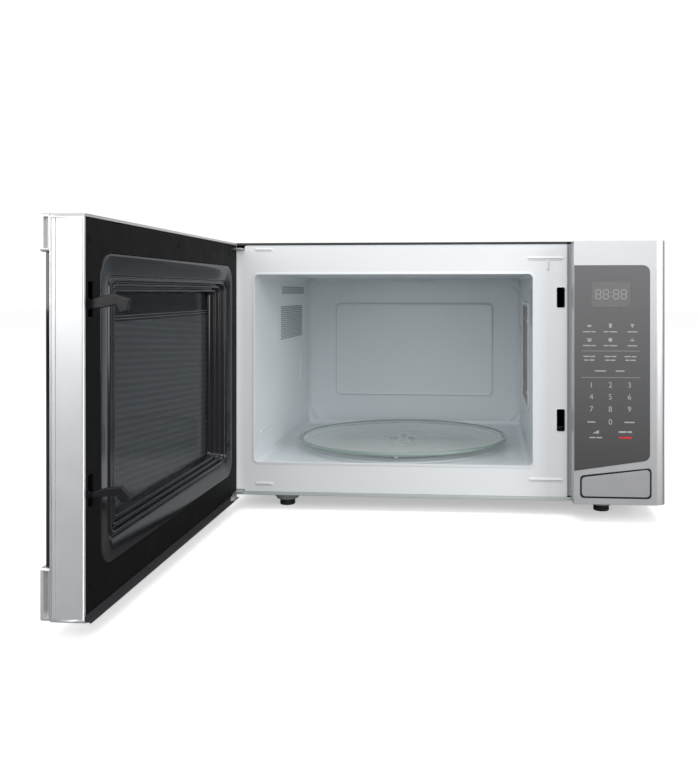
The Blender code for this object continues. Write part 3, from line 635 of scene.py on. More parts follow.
def screw_head(face: Face, center: Pair, radius: float, rise: float = 0.0018) -> Mesh:
    """A low domed head with a cross recess.

    The dome's lift is rise times the square root of 1 - (0.92 r / R) squared. It is pulled down to a
    fifth where a point lies within a narrow cross.

    Args:
        face: the face it stands on.
        center: its middle there.
        radius: its radius.
        rise: its height.

    Returns:
        A closed mesh.
    """
    share = np.linspace(1.0, 0.06, 9)[:, None]
    angle = np.linspace(0, math.tau, 32, endpoint=False)[None, :]
    across, up = radius * share * np.cos(angle), radius * share * np.sin(angle)
    lift = rise * np.sqrt(np.clip(1 - (share * 0.92) ** 2, 0, 1)) + 0 * angle
    thin = np.minimum(abs(across), abs(up)) < radius * 0.14
    cross = thin & (np.maximum(abs(across), abs(up)) < radius * 0.6)
    lift = np.where(cross, lift * 0.2, lift)
    points = np.stack([across + center[0], up + center[1], lift], axis=-1)
    foot = points[:1].copy()
    foot[..., 2] = -0.0004
    return capped_mesh(face.spread(np.concatenate([foot, points])))


def add_object(name: str, data: object) -> Thing:
    """A new object in the scene.

    Args:
        name: its name.
        data: what it shows.

    Returns:
        The object.
    """
    made = bpy.data.objects.new(name, data)
    bpy.context.scene.collection.objects.link(made)
    return made


class Workshop:
    """Puts finished meshes in the scene, on their bodies and with their finishes."""

    def __init__(self) -> None:
        """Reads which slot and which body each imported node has."""
        record = frame["record"]
        self.slot_of = {row["node"]: row["material_slot"] for row in record["subparts"]}
        bodies = record["behaviour"]["bodies"]
        self.body_of = {node: body for body, nodes in bodies.items() for node in nodes}

    def piece(
        self, name: str, mesh: Mesh, finish: Finish, body: str = "cabinet",
        replaces: Sequence[str] = (), angle: float = 35.0, outward: bool = True, slot: str = "",
    ) -> None:
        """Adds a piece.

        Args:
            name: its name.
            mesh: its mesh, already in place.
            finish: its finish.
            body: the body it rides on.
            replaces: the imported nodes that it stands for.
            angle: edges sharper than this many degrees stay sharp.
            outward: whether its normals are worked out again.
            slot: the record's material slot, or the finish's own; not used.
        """
        slot = slot or finish.slot
        if outward:
            work = bmesh.new()
            work.from_mesh(mesh)
            bmesh.ops.remove_doubles(work, verts=work.verts, dist=1e-7)
            bmesh.ops.recalc_face_normals(work, faces=work.faces)
            work.to_mesh(mesh)
            work.free()
        mesh.materials.clear()
        mesh.materials.append(finish.material())
        if angle < 180.0:
            mesh.shade_smooth()
            mesh.set_sharp_from_angle(angle=math.radians(angle))
        made = add_object(name, mesh)
        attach(made, body)
        if replaces:
            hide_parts(*replaces)
        log.info("%s: %d faces on %s", name, len(mesh.polygons), body)

    def softened(
        self, node: str, finish: Finish, width: float, segments: int, name: str,
        cutters: Sequence[Mesh] = (), angle: float = 30.0,
    ) -> None:
        """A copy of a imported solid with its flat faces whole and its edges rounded; it stands for the node.

        Args:
            node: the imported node.
            finish: the copy's finish.
            width: the rounding's width.
            segments: cells in each rounding.
            name: the copy's name.
            cutters: closed meshes taken out of it first.
            angle: only edges sharper than this many degrees are rounded.
        """
        work = bmesh.new()
        work.from_mesh(frame["nodes"][node].data)
        bmesh.ops.remove_doubles(work, verts=work.verts, dist=2e-6)
        mesh = bpy.data.meshes.new(node)
        work.to_mesh(mesh)
        work.free()
        shell = add_object("shell", mesh)
        tools = [self.cut(shell, cutter) for cutter in cutters]
        flats = shell.modifiers.new("Only real edges are rounded", "DECIMATE")
        flats.decimate_type = "DISSOLVE"
        flats.angle_limit = math.radians(0.5)
        bevel = shell.modifiers.new("Soft edges", "BEVEL")
        bevel.width = width
        bevel.segments = segments
        bevel.limit_method = "ANGLE"
        bevel.angle_limit = math.radians(angle)
        bevel.use_clamp_overlap = True
        soft = self.baked(shell)
        soft.shade_smooth()
        soft.set_sharp_from_angle(angle=math.radians(40))
        weighted = add_object("weighted", soft)
        normals = weighted.modifiers.new("Flat faces stay flat", "WEIGHTED_NORMAL")
        normals.weight = 100
        normals.keep_sharp = True
        result = self.baked(weighted)
        for helper in [shell, weighted, *tools]:
            bpy.data.objects.remove(helper, do_unlink=True)
        self.piece(
            name, result, finish, self.body_of[node], [node], outward=False, angle=180.0,
            slot=self.slot_of[node],
        )

    @staticmethod
    def baked(shell: Thing) -> Mesh:
        """The mesh of an object with its modifiers applied."""
        evaluated = shell.evaluated_get(bpy.context.evaluated_depsgraph_get())
        return bpy.data.meshes.new_from_object(evaluated)

    @staticmethod
    def cut(shell: Thing, cutter: Mesh) -> Thing:
        """Takes a closed mesh out of a shell with a Boolean.

        Args:
            shell: the object to cut.
            cutter: the closed mesh to take away.

        Returns:
            The tool object, to remove later.
        """
        work = bmesh.new()
        work.from_mesh(cutter)
        bmesh.ops.recalc_face_normals(work, faces=work.faces)
        work.to_mesh(cutter)
        work.free()
        tool = add_object("tool", cutter)
        boolean = shell.modifiers.new("Cut", "BOOLEAN")
        boolean.operation = "DIFFERENCE"
        boolean.object = tool
        return tool


# ------------------------------------------------------------------ cabinet
@dataclass
class FrontPlate:
    """White plate round the mouth: rolled lip, pressed beads, and the latch slots' collars with painted shade
    inside the slots.
    """

    shop: Workshop
    plate: Box = boxed("front_plate")
    floor: Box = boxed("cavity_floor")
    walls: Box = boxed("cavity_walls")
    lip: float = 0.0016
    lip_out: float = 0.0010
    bead_rise: float = 0.0009

    def build(self) -> None:
        """Makes all of the plate's pieces."""
        self.shop.softened("front_plate", PLATE_ENAMEL, 0.0003, 2, "front_plate_sheet")
        self.make_lip()
        self.make_beads()
        self.make_slot_collars_and_shade()
        self.make_top_fold()

    def mouth(self) -> tuple[float, float, float, float]:
        """The mouth's left, right, bottom and top.

        Returns:
            The four numbers, in metres.
        """
        sheet = 0.0010
        left, right = self.walls[0].x + sheet, self.walls[1].x - sheet
        return left, right, self.floor[1].z, self.walls[1].z - sheet

    def make_lip(self) -> None:
        """A rolled edge round the mouth: outlines that shrink into the cavity along a quarter circle."""
        left, right, low, high = self.mouth()
        turn = np.linspace(0, math.pi / 2, 7)
        front = [(-self.lip_out - self.lip * math.cos(a), self.lip * 0.32 * math.sin(a)) for a in turn]
        back = [(0.0004 * math.sin(a), -self.lip * (1 - math.cos(a)) + 0.0007) for a in turn[1:]]
        tail = [(0.0004, -0.0040), (-0.0004, -0.0040), (-0.0004, -0.0002)]
        grid = loft(right - left, high - low, 0.0055, front + back + tail, 8)
        face = Face(((left + right) / 2, self.plate[0].y, (low + high) / 2))
        self.shop.piece("mouth_lip", ring_mesh(face.spread(grid)), PLATE_ENAMEL, angle=50)

    def make_beads(self) -> None:
        """Pressed beads by the mouth's corners, level and upright."""
        left, right, low, high = self.mouth()
        at_latch, at_hinge = Face((right, self.plate[0].y, 0.0)), Face((left, self.plate[0].y, 0.0))
        beads = joined(
            bead(width, height, self.bead_rise, face, center)
            for width, height, face, center in (
                (0.0440, 0.0058, at_latch, (0.0150, high + 0.0182)),
                (0.0050, 0.0150, at_latch, (0.0180, high + 0.0105)),
                (0.0420, 0.0058, at_latch, (0.0155, low - 0.0160)),
                (0.0230, 0.0052, at_hinge, (0.0125, high + 0.0300)),
                (0.0230, 0.0052, at_hinge, (0.0125, low - 0.0265)),
            )
        )
        self.shop.piece("plate_beads", beads, PLATE_ENAMEL)

    def make_slot_collars_and_shade(self) -> None:
        """A white collar at each latch slot, and a dark tube inside it that paints the shade in the slot."""
        openings = {row["name"]: row["box_m"] for row in frame["record"]["physics"]["openings"]}
        collar = [(-0.0011, -0.0001), (-0.0009, 0.0004), (-0.0002, 0.0005), (0.0, 0.0001),
                  (0.0, -0.001), (-0.0006, -0.001)]
        # a dark tube behind the slot's mouth, painted shade
        shade_tube = [(-0.0003, -0.0016), (0.0001, -0.0016), (0.0001, -0.0200), (-0.0003, -0.0200)]
        for name in ("upper", "lower"):
            (left, _, low), (right, _, high) = openings[f"{name}_latch_slot"]
            width, height = right - left + 0.0010, high - low + 0.0014
            face = Face(((left + right) / 2, self.plate[0].y, (low + high) / 2))
            for kind, line, radius, finish in (
                ("slot_collar", collar, 0.0014, PLATE_ENAMEL), ("hook_guide", shade_tube, 0.0012, SHADOW_BLACK)
            ):
                mesh = ring_mesh(face.spread(loft(width, height, radius, line, 3)))
                self.shop.piece(f"{name}_{kind}", mesh, finish)

    def make_top_fold(self) -> None:
        """The black wrap's fold over the plate's top edge: a thin flat strip."""
        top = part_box("case_wrap")[1].z
        near, far = self.plate[0].y - 0.0006, self.plate[0].y + 0.0002
        strip = block((self.plate[0].x, near, top - 0.0030), (self.plate[1].x, far, top - 0.0001))
        self.shop.piece("wrap_top_fold", strip, BLACK_PAINT)


@dataclass
class Cavity:
    """Enamelled inside: embossed back, grilles on both walls, floor dish and mica cover."""

    shop: Workshop
    mouth: tuple[float, float, float, float]
    walls: Box = boxed("cavity_walls")
    back: Box = boxed("cavity_back")
    recess: float = -0.0095
    raised: float = -0.0066
    fillet: float = 0.0075
    hole_pitch: float = 0.0032
    hole_radius: float = 0.00112

    def build(self) -> None:
        """Makes all of the cavity's pieces."""
        self.shop.softened("cavity_walls", ENAMEL, 0.0004, 2, "cavity_wrap")
        self.shop.softened("cavity_floor", ENAMEL, 0.0004, 2, "cavity_floor_sheet")
        self.make_back()
        self.make_floor_ring()
        self.make_fillets()
        self.make_grilles()
        self.make_wall_beads()
        self.make_cover()

    def make_back(self) -> None:
        """The back sheet: a wide recess with large corners, and a raised panel in it."""
        x, _, z = middle(self.back)
        face = Face((x, self.back[0].y, z))
        width, height = self.back[1].x - self.back[0].x, self.back[1].z - self.back[0].z
        line = [
            (0.0, 0.0), (0.0020, 0.0), (0.0032, 0.0012), (0.0052, 0.0010), (0.0098, self.recess),
            (0.0510, self.recess), (0.0525, self.raised + 0.0005), (0.0545, self.raised),
            (0.0700, self.raised),
        ]
        corners = ((0.0, 0.0022, 0.0050, 0.0400, 0.0530), (0.002, 0.034, 0.040, 0.016, 0.006))
        rows = []
        for inset, lift in smooth_profile(line, 0.0022, 5):
            radius = float(np.interp(inset, *corners))
            ring = loop(width - 2 * inset, height - 2 * inset, radius, 10)
            ring[:, 1] += np.interp(inset, (0.0200, 0.0500), (0.0, 0.0035))
            rows.append(lifted(ring, lift))
        inner = np.array(rows)
        outer = inner[::-1] - np.array([0, 0, self.back[1].y - self.back[0].y])
        mesh = capped_mesh(face.spread(np.concatenate([outer, inner])))
        self.shop.piece("cavity_back_sheet", mesh, ENAMEL, replaces=["cavity_back"], angle=60)

    def floor_height(self) -> float:
        """Height of the floor's upper side."""
        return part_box("cavity_floor")[0].z + 0.0010

    def make_floor_ring(self) -> None:
        """A low pressed ring in the floor, outside the wheels' track."""
        line = [(0.1250, -0.0001), (0.1265, 0.0009), (0.1300, 0.0009), (0.1320, -0.0001)]
        center = (*joint_place("turntable_spin")[:2], self.floor_height())
        mesh = ring_mesh(turned(smooth_profile(line, 0.0012), center))
        self.shop.piece("floor_ring", mesh, ENAMEL, angle=60)

    def make_fillets(self) -> None:
        """Rounded corners where the floor meets the walls: a quarter circle, drawn from end to end."""
        floor, (left, right), depth = self.floor_height(), self.mouth[:2], self.back[0].y
        turn = np.linspace(0, math.pi / 2, 7)
        across = self.fillet * (1 - np.stack([np.sin(turn), np.cos(turn)], axis=-1))
        across = np.vstack([across, [[0.0, 0.0]]])
        level = np.ones(len(across))
        rise = floor + across[:, 1]
        ends = (self.walls[0].y + 0.002, depth - 0.0005)
        strips = [
            [np.column_stack([start + side * across[:, 0], level * y, rise]) for y in ends]
            for side, start in ((1, left + 0.0002), (-1, right - 0.0002))
        ]
        strips.append([np.column_stack([level * x, depth - across[:, 0], rise]) for x in (left, right)])
        mesh = joined(capped_mesh(np.array(rows)) for rows in strips)
        self.shop.piece("floor_fillets", mesh, ENAMEL)

    def wall_face(self, side: int) -> Face:
        """The inside of the left (1) or right (-1) wall, across running back or forward."""
        x = self.mouth[0] if side > 0 else self.mouth[1]
        return Face((x, self.walls[0].y, 0.0), (0, side, 0))

    def make_grilles(self) -> None:
        """Staggered rows of small round holes, each a shallow grey cup that paints the shade seen through the
        hole.
        """
        fields = ((1, 0.150, 0.300, 0.2645, 0.2750), (1, 0.144, 0.287, 0.2005, 0.2475),
                  (-1, 0.026, 0.050, 0.2260, 0.2700))
        cups = []
        for side, start, end, low, high in fields:
            pitch = self.hole_pitch
            across, up = np.meshgrid(np.arange(start, end, pitch), np.arange(low, high, pitch * 0.87))
            across = across + (np.arange(up.shape[0]) % 2)[:, None] * pitch / 2
            centers = np.stack([across.ravel() * side, up.ravel()], axis=-1)
            cups.append(disc_field(centers, self.hole_radius, self.wall_face(side), 0.0002))
        # grey cups paint the shade seen through the grille holes
        self.shop.piece("wall_grilles", joined(cups), SHADE_AND_REFLECTION_GREY, angle=20, outward=False)

    def make_wall_beads(self) -> None:
        """Pressed marks on the left wall: an upright bead and a level one."""
        face = self.wall_face(1)
        upright = bead(0.0035, 0.0400, 0.0010, face, (0.2750, 0.1500))
        level = bead(0.0500, 0.0040, 0.0010, face, (0.0550, 0.0900))
        self.shop.piece("wall_beads", joined([upright, level]), ENAMEL)

    def make_cover(self) -> None:
        """Mica cover with its four rivets and a pressed white frame round it."""
        low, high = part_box("waveguide_cover")
        self.shop.softened("waveguide_cover", MICA, 0.0002, 2, "mica_cover")
        face = Face((low.x, *middle((low, high))[1:]), (0, -1, 0))
        width, height = high.y - low.y, high.z - low.z
        rivets = joined(
            bead(0.0070, 0.0070, 0.0016, face, (x, z))
            for x in (-width * 0.42, width * 0.42) for z in (-height * 0.36, height * 0.36)
        )
        self.shop.piece("mica_rivets", rivets, WHITE_PLASTIC)
        line = [(-0.0075, -0.0006), (-0.0060, 0.0008), (-0.0030, 0.0008), (-0.0012, -0.0006)]
        grid = loft(width, height, 0.004, smooth_profile(line, 0.001), 6)
        self.shop.piece("mica_frame", ring_mesh(face.spread(grid)), ENAMEL, angle=60)


@dataclass
class Case:
    """Black wrap, rear panel with louvres, base pan, feet, hinges and screws."""

    shop: Workshop
    rear: Box = boxed("rear_panel")
    wrap: Box = boxed("case_wrap")
    louvre_size: Color = (0.030, 0.0062, 0.0026)
    louvre_step: float = 0.0125
    screw_radius: float = 0.0036

    def build(self) -> None:
        """Makes all of the case's pieces."""
        self.shop.softened("case_wrap", BLACK_PAINT, 0.0005, 3, "case_wrap_sheet")
        self.shop.softened("rear_panel", BLACK_PAINT, 0.0003, 2, "rear_panel_sheet")
        self.shop.softened("base_pan", BASE_STEEL, 0.0005, 2, "base_pan_sheet", angle=25)
        for node in ("upper_hinge", "lower_hinge"):
            self.shop.softened(node, STEEL, 0.0004, 3, f"{node}_bracket", angle=25)
        for column in ("left", "right"):
            for row in ("front", "rear"):
                self.make_foot(f"{row}_{column}_foot")
        self.shop.softened("cord_gland", RUBBER, 0.0004, 2, "cord_gland_rubber", angle=25)
        self.make_louvres()
        self.make_screws()

    def make_foot(self, node: str) -> None:
        """A rubber foot: a short drum with a soft rim, a groove and a dished sole.

        Args:
            node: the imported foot.
        """
        low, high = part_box(node)
        radius, top = (high.x - low.x) / 2, high.z - low.z
        line = [(0.0, 0.0006), (radius * 0.62, 0.0006), (radius * 0.68, 0.0), (radius - 0.0006, 0.0),
                (radius, 0.0014), (radius, 0.0034), (radius - 0.0007, 0.0038),
                (radius - 0.0007, 0.0044), (radius, 0.0048), (radius, top - 0.0006),
                (radius - 0.0008, top), (0.0, top)]
        grid = turned(smooth_profile(line, 0.0005, 3), (*middle((low, high))[:2], low.z), 48)
        self.shop.piece(f"{node}_rubber", grid_mesh(grid, wrap_cols=True), RUBBER, replaces=[node])

    def rear_face(self) -> Face:
        """The rear panel's outside, across running from its right end as the user sees it."""
        return Face((self.rear[1].x, self.rear[1].y, 0.0), (-1, 0, 0))

    def make_louvres(self) -> None:
        """Rows of pressed louvres on the rear panel and on both sides: half domes, open below."""
        rear = self.rear_face()
        left = Face((self.wrap[0].x, self.wrap[1].y, 0.0), (0, -1, 0))
        right = Face((self.wrap[1].x, self.wrap[0].y, 0.0), (0, 1, 0))
        fields = {
            "rear_louvres": ((rear, 0.055, 0.130, 4, 11, 0.040), (rear, 0.330, 0.230, 4, 5, 0.040)),
            "side_louvres": ((left, 0.060, 0.190, 3, 7, 0.038), (right, 0.215, 0.190, 3, 7, 0.038)),
        }
        for name, groups in fields.items():
            domes = joined(
                self.louvre(face, (start + pitch * column, low + self.louvre_step * row))
                for face, start, low, columns, rows, pitch in groups
                for column in range(columns) for row in range(rows)
            )
            self.shop.piece(name, domes, BLACK_PAINT, angle=50)

    def louvre(self, face: Face, center: Pair) -> Mesh:
        """One louvre: its rise is a half sine along its length times a ramp down to its open edge.

        Args:
            face: the sheet it stands on.
            center: the middle of its open edge on that face.

        Returns:
            Its mesh.
        """
        length, height, rise = self.louvre_size
        along, up = np.meshgrid(np.linspace(-0.5, 0.5, 9), np.linspace(0.0, 1.0, 5), indexing="ij")
        lift = rise * np.cos(along * math.pi) ** 0.5 * (1 - up) ** 0.8
        points = [center[0] + along * length, center[1] + up * height, lift - 0.0001]
        dome = np.stack(points, axis=-1)
        flat = dome.copy()
        flat[..., 2] = -0.0003
        return capped_mesh(face.spread(np.concatenate([dome, flat[:, ::-1]], axis=1)))

    def make_screws(self) -> None:
        """Pan-head screws with cross recesses round the rear panel."""
        width = self.rear[1].x - self.rear[0].x
        places = [(x, z) for x in (0.012, width - 0.012) for z in (0.300, 0.170, 0.045)]
        places.append((width / 2, 0.314))
        heads = joined(screw_head(self.rear_face(), place, self.screw_radius) for place in places)
        self.shop.piece("rear_screws", heads, STEEL, angle=25)


# ------------------------------------------------------------------ turntable
@dataclass
class Turntable:
    """Pressed glass tray, three-lobed coupler and the roller ring below."""

    shop: Workshop
    tray: Box = boxed("turntable_tray")
    center: Pair = field(default_factory=lambda: tuple(joint_place("turntable_spin")[:2]))
    glass: float = 0.0033
    sides: int = 160
    lug_reach: float = 0.0145
    lobe_radius: float = 0.0150
    lobe_swing: float = 0.0060

    def build(self) -> None:
        """Makes all of the turntable's pieces."""
        self.make_tray()
        self.make_lugs()
        self.make_coupler()
        self.shop.softened("roller_ring", WHITE_PLASTIC, 0.0004, 2, "roller_ring_moulding", angle=40)
        for number in (1, 2, 3):
            node = f"roller_wheel_{number}"
            self.shop.softened(node, WHITE_PLASTIC, 0.0003, 2, f"{node}_tyre", angle=40)

    def make_tray(self) -> None:
        """The plate with a rounded rim, and the rim's edge in thicker, greener glass."""
        low, top = self.tray[0].z, self.tray[1].z
        radius = (self.tray[1].x - self.tray[0].x) / 2
        base, floor = (*self.center, 0.0), low + self.glass
        upper = [(0.0, floor), (0.0300, floor), (0.0320, floor + 0.0003), (0.0340, floor),
                 (radius - 0.0150, floor), (radius - 0.0095, floor + 0.0007),
                 (radius - 0.0060, top - 0.0010)]
        under = [(radius - 0.0070, low + 0.0016), (radius - 0.0110, low), (0.0340, low), (0.0, low)]
        plate = turned(smooth_profile(upper + under, 0.0016, 4), base, self.sides)
        mesh = grid_mesh(plate, wrap_cols=True)
        self.shop.piece("glass_tray", mesh, TRAY_GLASS, "tray", ["turntable_tray"], angle=50)
        rim = [(radius - 0.0058, top - 0.0012), (radius - 0.0045, top), (radius - 0.0015, top - 0.0001),
               (radius, top - 0.0014), (radius - 0.0008, top - 0.0034),
               (radius - 0.0068, low + 0.0014), (radius - 0.0058, top - 0.0012)]
        edge = turned(smooth_profile(rim, 0.0009, 4)[:-1], base, self.sides)
        self.shop.piece("glass_tray_rim", ring_mesh(edge), TRAY_EDGE, "tray", angle=60)

    def make_lugs(self) -> None:
        """Three drive lugs under the tray's middle, seen through the glass as short bars."""
        face = Face((*self.center, self.tray[0].z + 0.0034), up=(0, 1, 0))
        bars = []
        for number in range(3):
            angle = math.tau * number / 3 + math.pi / 2
            along = np.array([math.cos(angle), math.sin(angle)])
            turn = np.array([along, [-along[1], along[0]]])
            placed = loop(0.0110, 0.0040, 0.0016, 4) @ turn + self.lug_reach * along
            bars.append(prism(placed, face, -0.0030, 0.0003))
        self.shop.piece("tray_lugs", joined(bars), TRAY_EDGE, "tray")

    def make_coupler(self) -> None:
        """The coupler: a round shaft, then a three-lobed outline whose edge is rounded in."""
        low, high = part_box("turntable_coupler")
        angle = np.linspace(0, math.tau, 96, endpoint=False)
        reach = self.lobe_radius + self.lobe_swing * np.cos(3 * angle)
        shaft = [(0.0034 + 0 * angle, drop) for drop in (low.z - high.z, -0.0063)]
        lobes = [
            (reach - inset, drop)
            for inset, drop in (
                (0.0028, -0.0063), (0.0, -0.0063), (0.0, -0.0014), (0.0004, -0.0005), (0.0014, 0.0),
                (0.0060, 0.0), (0.0066, -0.0008), (0.0086, -0.0008),
            )
        ]
        rows = [
            lifted(radius[:, None] * unit(angle) + np.array(self.center), high.z + drop)
            for radius, drop in shaft + lobes
        ]
        mesh = capped_mesh(np.array(rows))
        self.shop.piece("drive_coupler", mesh, PALE_HUB, "coupler", ["turntable_coupler"], angle=40)


# ------------------------------------------------------------------ control panel
@dataclass
class ControlPanel:
    """Silver housing with the keypad film, its printed marks, the display and the release button."""

    shop: Workshop
    panel: Box = boxed("control_panel")
    keypad: Box = boxed("keypad")
    print_lift: float = 0.00008
    numeral_size: float = 0.0090
    columns: Color = (0.0199, 0.0413, 0.0628)
    number_rows: Color = (0.1591, 0.1455, 0.1314)
    zero_row: float = 0.1168
    button_reach: Pair = (0.0092, 0.0858)
    button_heights: Color = (0.0313, 0.0530, 0.0628)
    button_gap: float = 0.0021

    def build(self) -> None:
        """Makes all of the panel's pieces."""
        self.shop.softened("control_panel", SILVER, 0.0009, 3, "control_panel_housing", angle=25)
        self.shop.softened("keypad", KEYPAD_FILM, 0.0002, 2, "keypad_film_sheet")
        self.shop.softened("display_window", DISPLAY_GLASS, 0.0002, 2, "display_pane")
        self.shop.softened("release_button", SHADED_BUTTON_SILVER, 0.0009, 3, "release_button_cap", angle=25)
        self.make_legends()
        self.make_digits()
        self.make_button_well_shade()
        self.make_side_rib()
        self.make_button_shadow_line()

    def face(self) -> Face:
        """The keypad's front: across from the panel's left side, up from the ground."""
        return Face((self.panel[0].x, self.keypad[0].y, 0.0))

    def printed(self, outline: np.ndarray) -> Mesh:
        """An outline as a thin print on the keypad."""
        return prism(outline, self.face(), 0.0, self.print_lift)

    def mark(self, center: Pair, width: float, height: float) -> Mesh:
        """A printed bar."""
        return bar(center, width, height, self.face(), 0.0, self.print_lift)

    def words(self, center: Pair, widths: Sequence[float], height: float) -> list[Mesh]:
        """A generic label: a row of short bars with gaps, centred on a point.

        Args:
            center: the row's middle.
            widths: the bars' widths.
            height: the bars' height.

        Returns:
            A mesh for each bar.
        """
        gap = 0.0010
        start = center[0] - (sum(widths) + gap * (len(widths) - 1)) / 2
        bars = []
        for width in widths:
            bars.append(self.mark((start + width / 2, center[1]), width, height))
            start += width + gap
        return bars

    def numeral(self, text: str, center: Pair) -> Mesh:
        """A numeral as a thin mesh, in place.

        Args:
            text: the numeral.
            center: its middle.

        Returns:
            The mesh.
        """
        curve = bpy.data.curves.new("numeral", "FONT")
        curve.body = text
        curve.size = self.numeral_size
        curve.align_x = "CENTER"
        curve.align_y = "CENTER"
        curve.extrude = self.print_lift / 2
        curve.resolution_u = 4
        holder = add_object("numeral", curve)
        mesh = self.shop.baked(holder)
        bpy.data.objects.remove(holder, do_unlink=True)
        origin = self.face().spread(np.array([center[0], center[1], self.print_lift / 2]))
        upright = Matrix.Rotation(math.radians(90), 4, "X")
        mesh.transform(Matrix.Translation(Vector(origin)) @ upright)
        return mesh

    def make_legends(self) -> None:
        """Pictograms, generic labels, two rules and the numerals 0 to 9."""
        marks = [self.mark((0.0419, height), 0.0666, 0.0004) for height in (0.1983, 0.1679)]
        labels = ((0.0085, 0.0050), (0.0060, 0.0085), (0.0110,))
        for row, (icon_z, label_z) in enumerate(((0.2273, 0.2203), (0.2111, 0.2044))):
            for column, x in enumerate((0.0176, 0.0413, 0.0661)):
                marks += self.pictogram(row * 3 + column, (x, icon_z))
                marks += self.words((x, label_z), labels[column], 0.0013)
        for x in (0.0176, 0.0413, 0.0640):
            marks += self.words((x, 0.1920), (0.0070, 0.0055), 0.0014)
            marks += self.words((x, 0.1878), (0.0045, 0.0060), 0.0014)
        marks += self.words((0.0300, 0.1754), (0.0125,), 0.0014)
        marks += self.words((0.0523, 0.1754), (0.0100,), 0.0014)
        for number in range(9):
            place = self.columns[number % 3], self.number_rows[number // 3]
            marks.append(self.numeral(str(number + 1), place))
        marks.append(self.numeral("0", (self.columns[1], self.zero_row)))
        marks += self.words((self.columns[0], self.zero_row), (0.0090,), 0.0015)
        marks += self.words((self.columns[2], self.zero_row), (0.0115,), 0.0015)
        wedge = np.array([(-0.0036, -0.0016), (0.0036, -0.0016), (0.0036, 0.0026)])
        marks.append(self.printed(wedge + (0.0248, 0.1052)))
        marks += self.words((0.0248, 0.0990), (0.0070, 0.0065), 0.0015)
        marks += self.words((0.0582, 0.1057), (0.0090, 0.0050), 0.0021)
        self.shop.piece("keypad_legends", joined(marks), LEGEND)
        red = self.words((0.0582, 0.0992), (0.0045, 0.0090), 0.0021)
        self.shop.piece("keypad_start_mark", joined(red), LEGEND_RED)

    def pictogram(self, number: int, center: Pair) -> list[Mesh]:
        """One of six plain pictograms: bowl, glass, slice, pot, ring or plate.

        Args:
            number: 0 to 5.
            center: its middle.

        Returns:
            Its meshes.
        """
        half = 0.0026 * unit(np.linspace(math.pi, math.tau, 13))
        outlines: dict[int, list[np.ndarray]] = {
            0: [half + (0, 0.0008)],
            1: [np.array([(-0.0013, -0.0024), (0.0013, -0.0024), (0.0019, 0.0024), (-0.0019, 0.0024)])],
            2: [np.array([(0.0, -0.0025), (0.0024, 0.0018), (-0.0024, 0.0018)])],
            3: [half + (0, 0.0003), loop(0.0058, 0.0007, 0.0003, 2) + (0, 0.0014)],
            4: [loop(0.0046, 0.0046, 0.00229, 5)],
            5: [half * (1.0, 0.6), loop(0.0020, 0.0008, 0.0003, 2) + (0, 0.0012)],
        }
        return [self.printed(outline + np.array(center)) for outline in outlines[number]]

    def make_digits(self) -> None:
        """The display's four eights of seven bars each, and the colon."""
        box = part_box("display_window")
        x, _, z = middle(box)
        face = Face((x, box[0].y, z))
        tall, wide, thick = 0.0104, 0.0056, 0.0010
        bars: list[tuple[Pair, float, float]] = []
        for at in (-0.0143, -0.0058, 0.0058, 0.0143):
            bars += [((at, level * tall / 2), wide - thick, thick) for level in (-1, 0, 1)]
            bars += [
                ((at + side * wide / 2, level * tall / 4), thick, tall / 2 - thick)
                for side in (-1, 1) for level in (-1, 1)
            ]
        bars += [((0.0, level * 0.0022), 0.0012, 0.0012) for level in (-1, 1)]
        mesh = joined(bar(*row, face, 0.0, self.print_lift) for row in bars)
        self.shop.piece("display_digits", mesh, DIGIT)

    def make_side_rib(self) -> None:
        """The housing's flank in the gap beside the front plate: a ribbed upright strip, in a darker copy of the
        housing's silver that paints the shade in the gap.
        """
        plate_low, plate_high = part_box("front_plate")
        start = plate_high.x + 0.0002
        step = self.panel[0].x + 0.0006 - start - 0.0013
        section = smooth_profile(
            [(0.0, 0.0010), (0.0, -0.0008), (step * 0.34, -0.0008), (step * 0.42, 0.0004),
             (step * 0.62, 0.0004), (step * 0.70, -0.0008), (step, -0.0008), (step + 0.0001, -0.0046),
             (step + 0.0013, -0.0046), (step + 0.0013, 0.0010)], 0.0003, 3,
        )
        outline = np.array(section) + np.array([start, plate_low.y])
        level = Face((0.0, 0.0, 0.0), up=(0, 1, 0))
        mesh = prism(outline, level, self.panel[0].z + 0.002, self.panel[1].z - 0.002)
        self.shop.piece("panel_side_rib", mesh, SHADED_FLANK_SILVER)

    def button_outline(self, grow: float) -> np.ndarray:
        """The button's four-cornered outline with round corners.

        Args:
            grow: how far it is moved outwards.

        Returns:
            Points of (X, Z): at each corner a quadratic curve, as in smooth_profile, round the line.
        """
        left, right = (self.panel[0].x + reach for reach in self.button_reach)
        low, left_top, right_top = self.button_heights
        start = ((left + right) / 2, low - grow)
        corners = [
            start, (right + grow, low - grow), (right + grow, right_top + grow),
            (left - grow, left_top + grow), (left - grow, low - grow), start,
        ]
        return np.array(smooth_profile(corners, 0.0052, 6)[:-1])

    def make_button_shadow_line(self) -> None:
        """A painted shadow line in the gap round the button: a thin black ring that lies just in front of the
        housing's face.
        """
        near, gap, behind, front = 0.0001, self.button_gap, -0.0006, 0.00012
        section = ((near, behind), (near, front), (gap, front), (gap, behind))
        rows = np.array([lifted(self.button_outline(grow), out) for grow, out in section])
        mesh = ring_mesh(Face((0.0, self.panel[0].y, 0.0)).spread(rows))
        # the black ring paints the shadow in the gap round the button
        self.shop.piece("button_groove", mesh, SHADOW_BLACK)

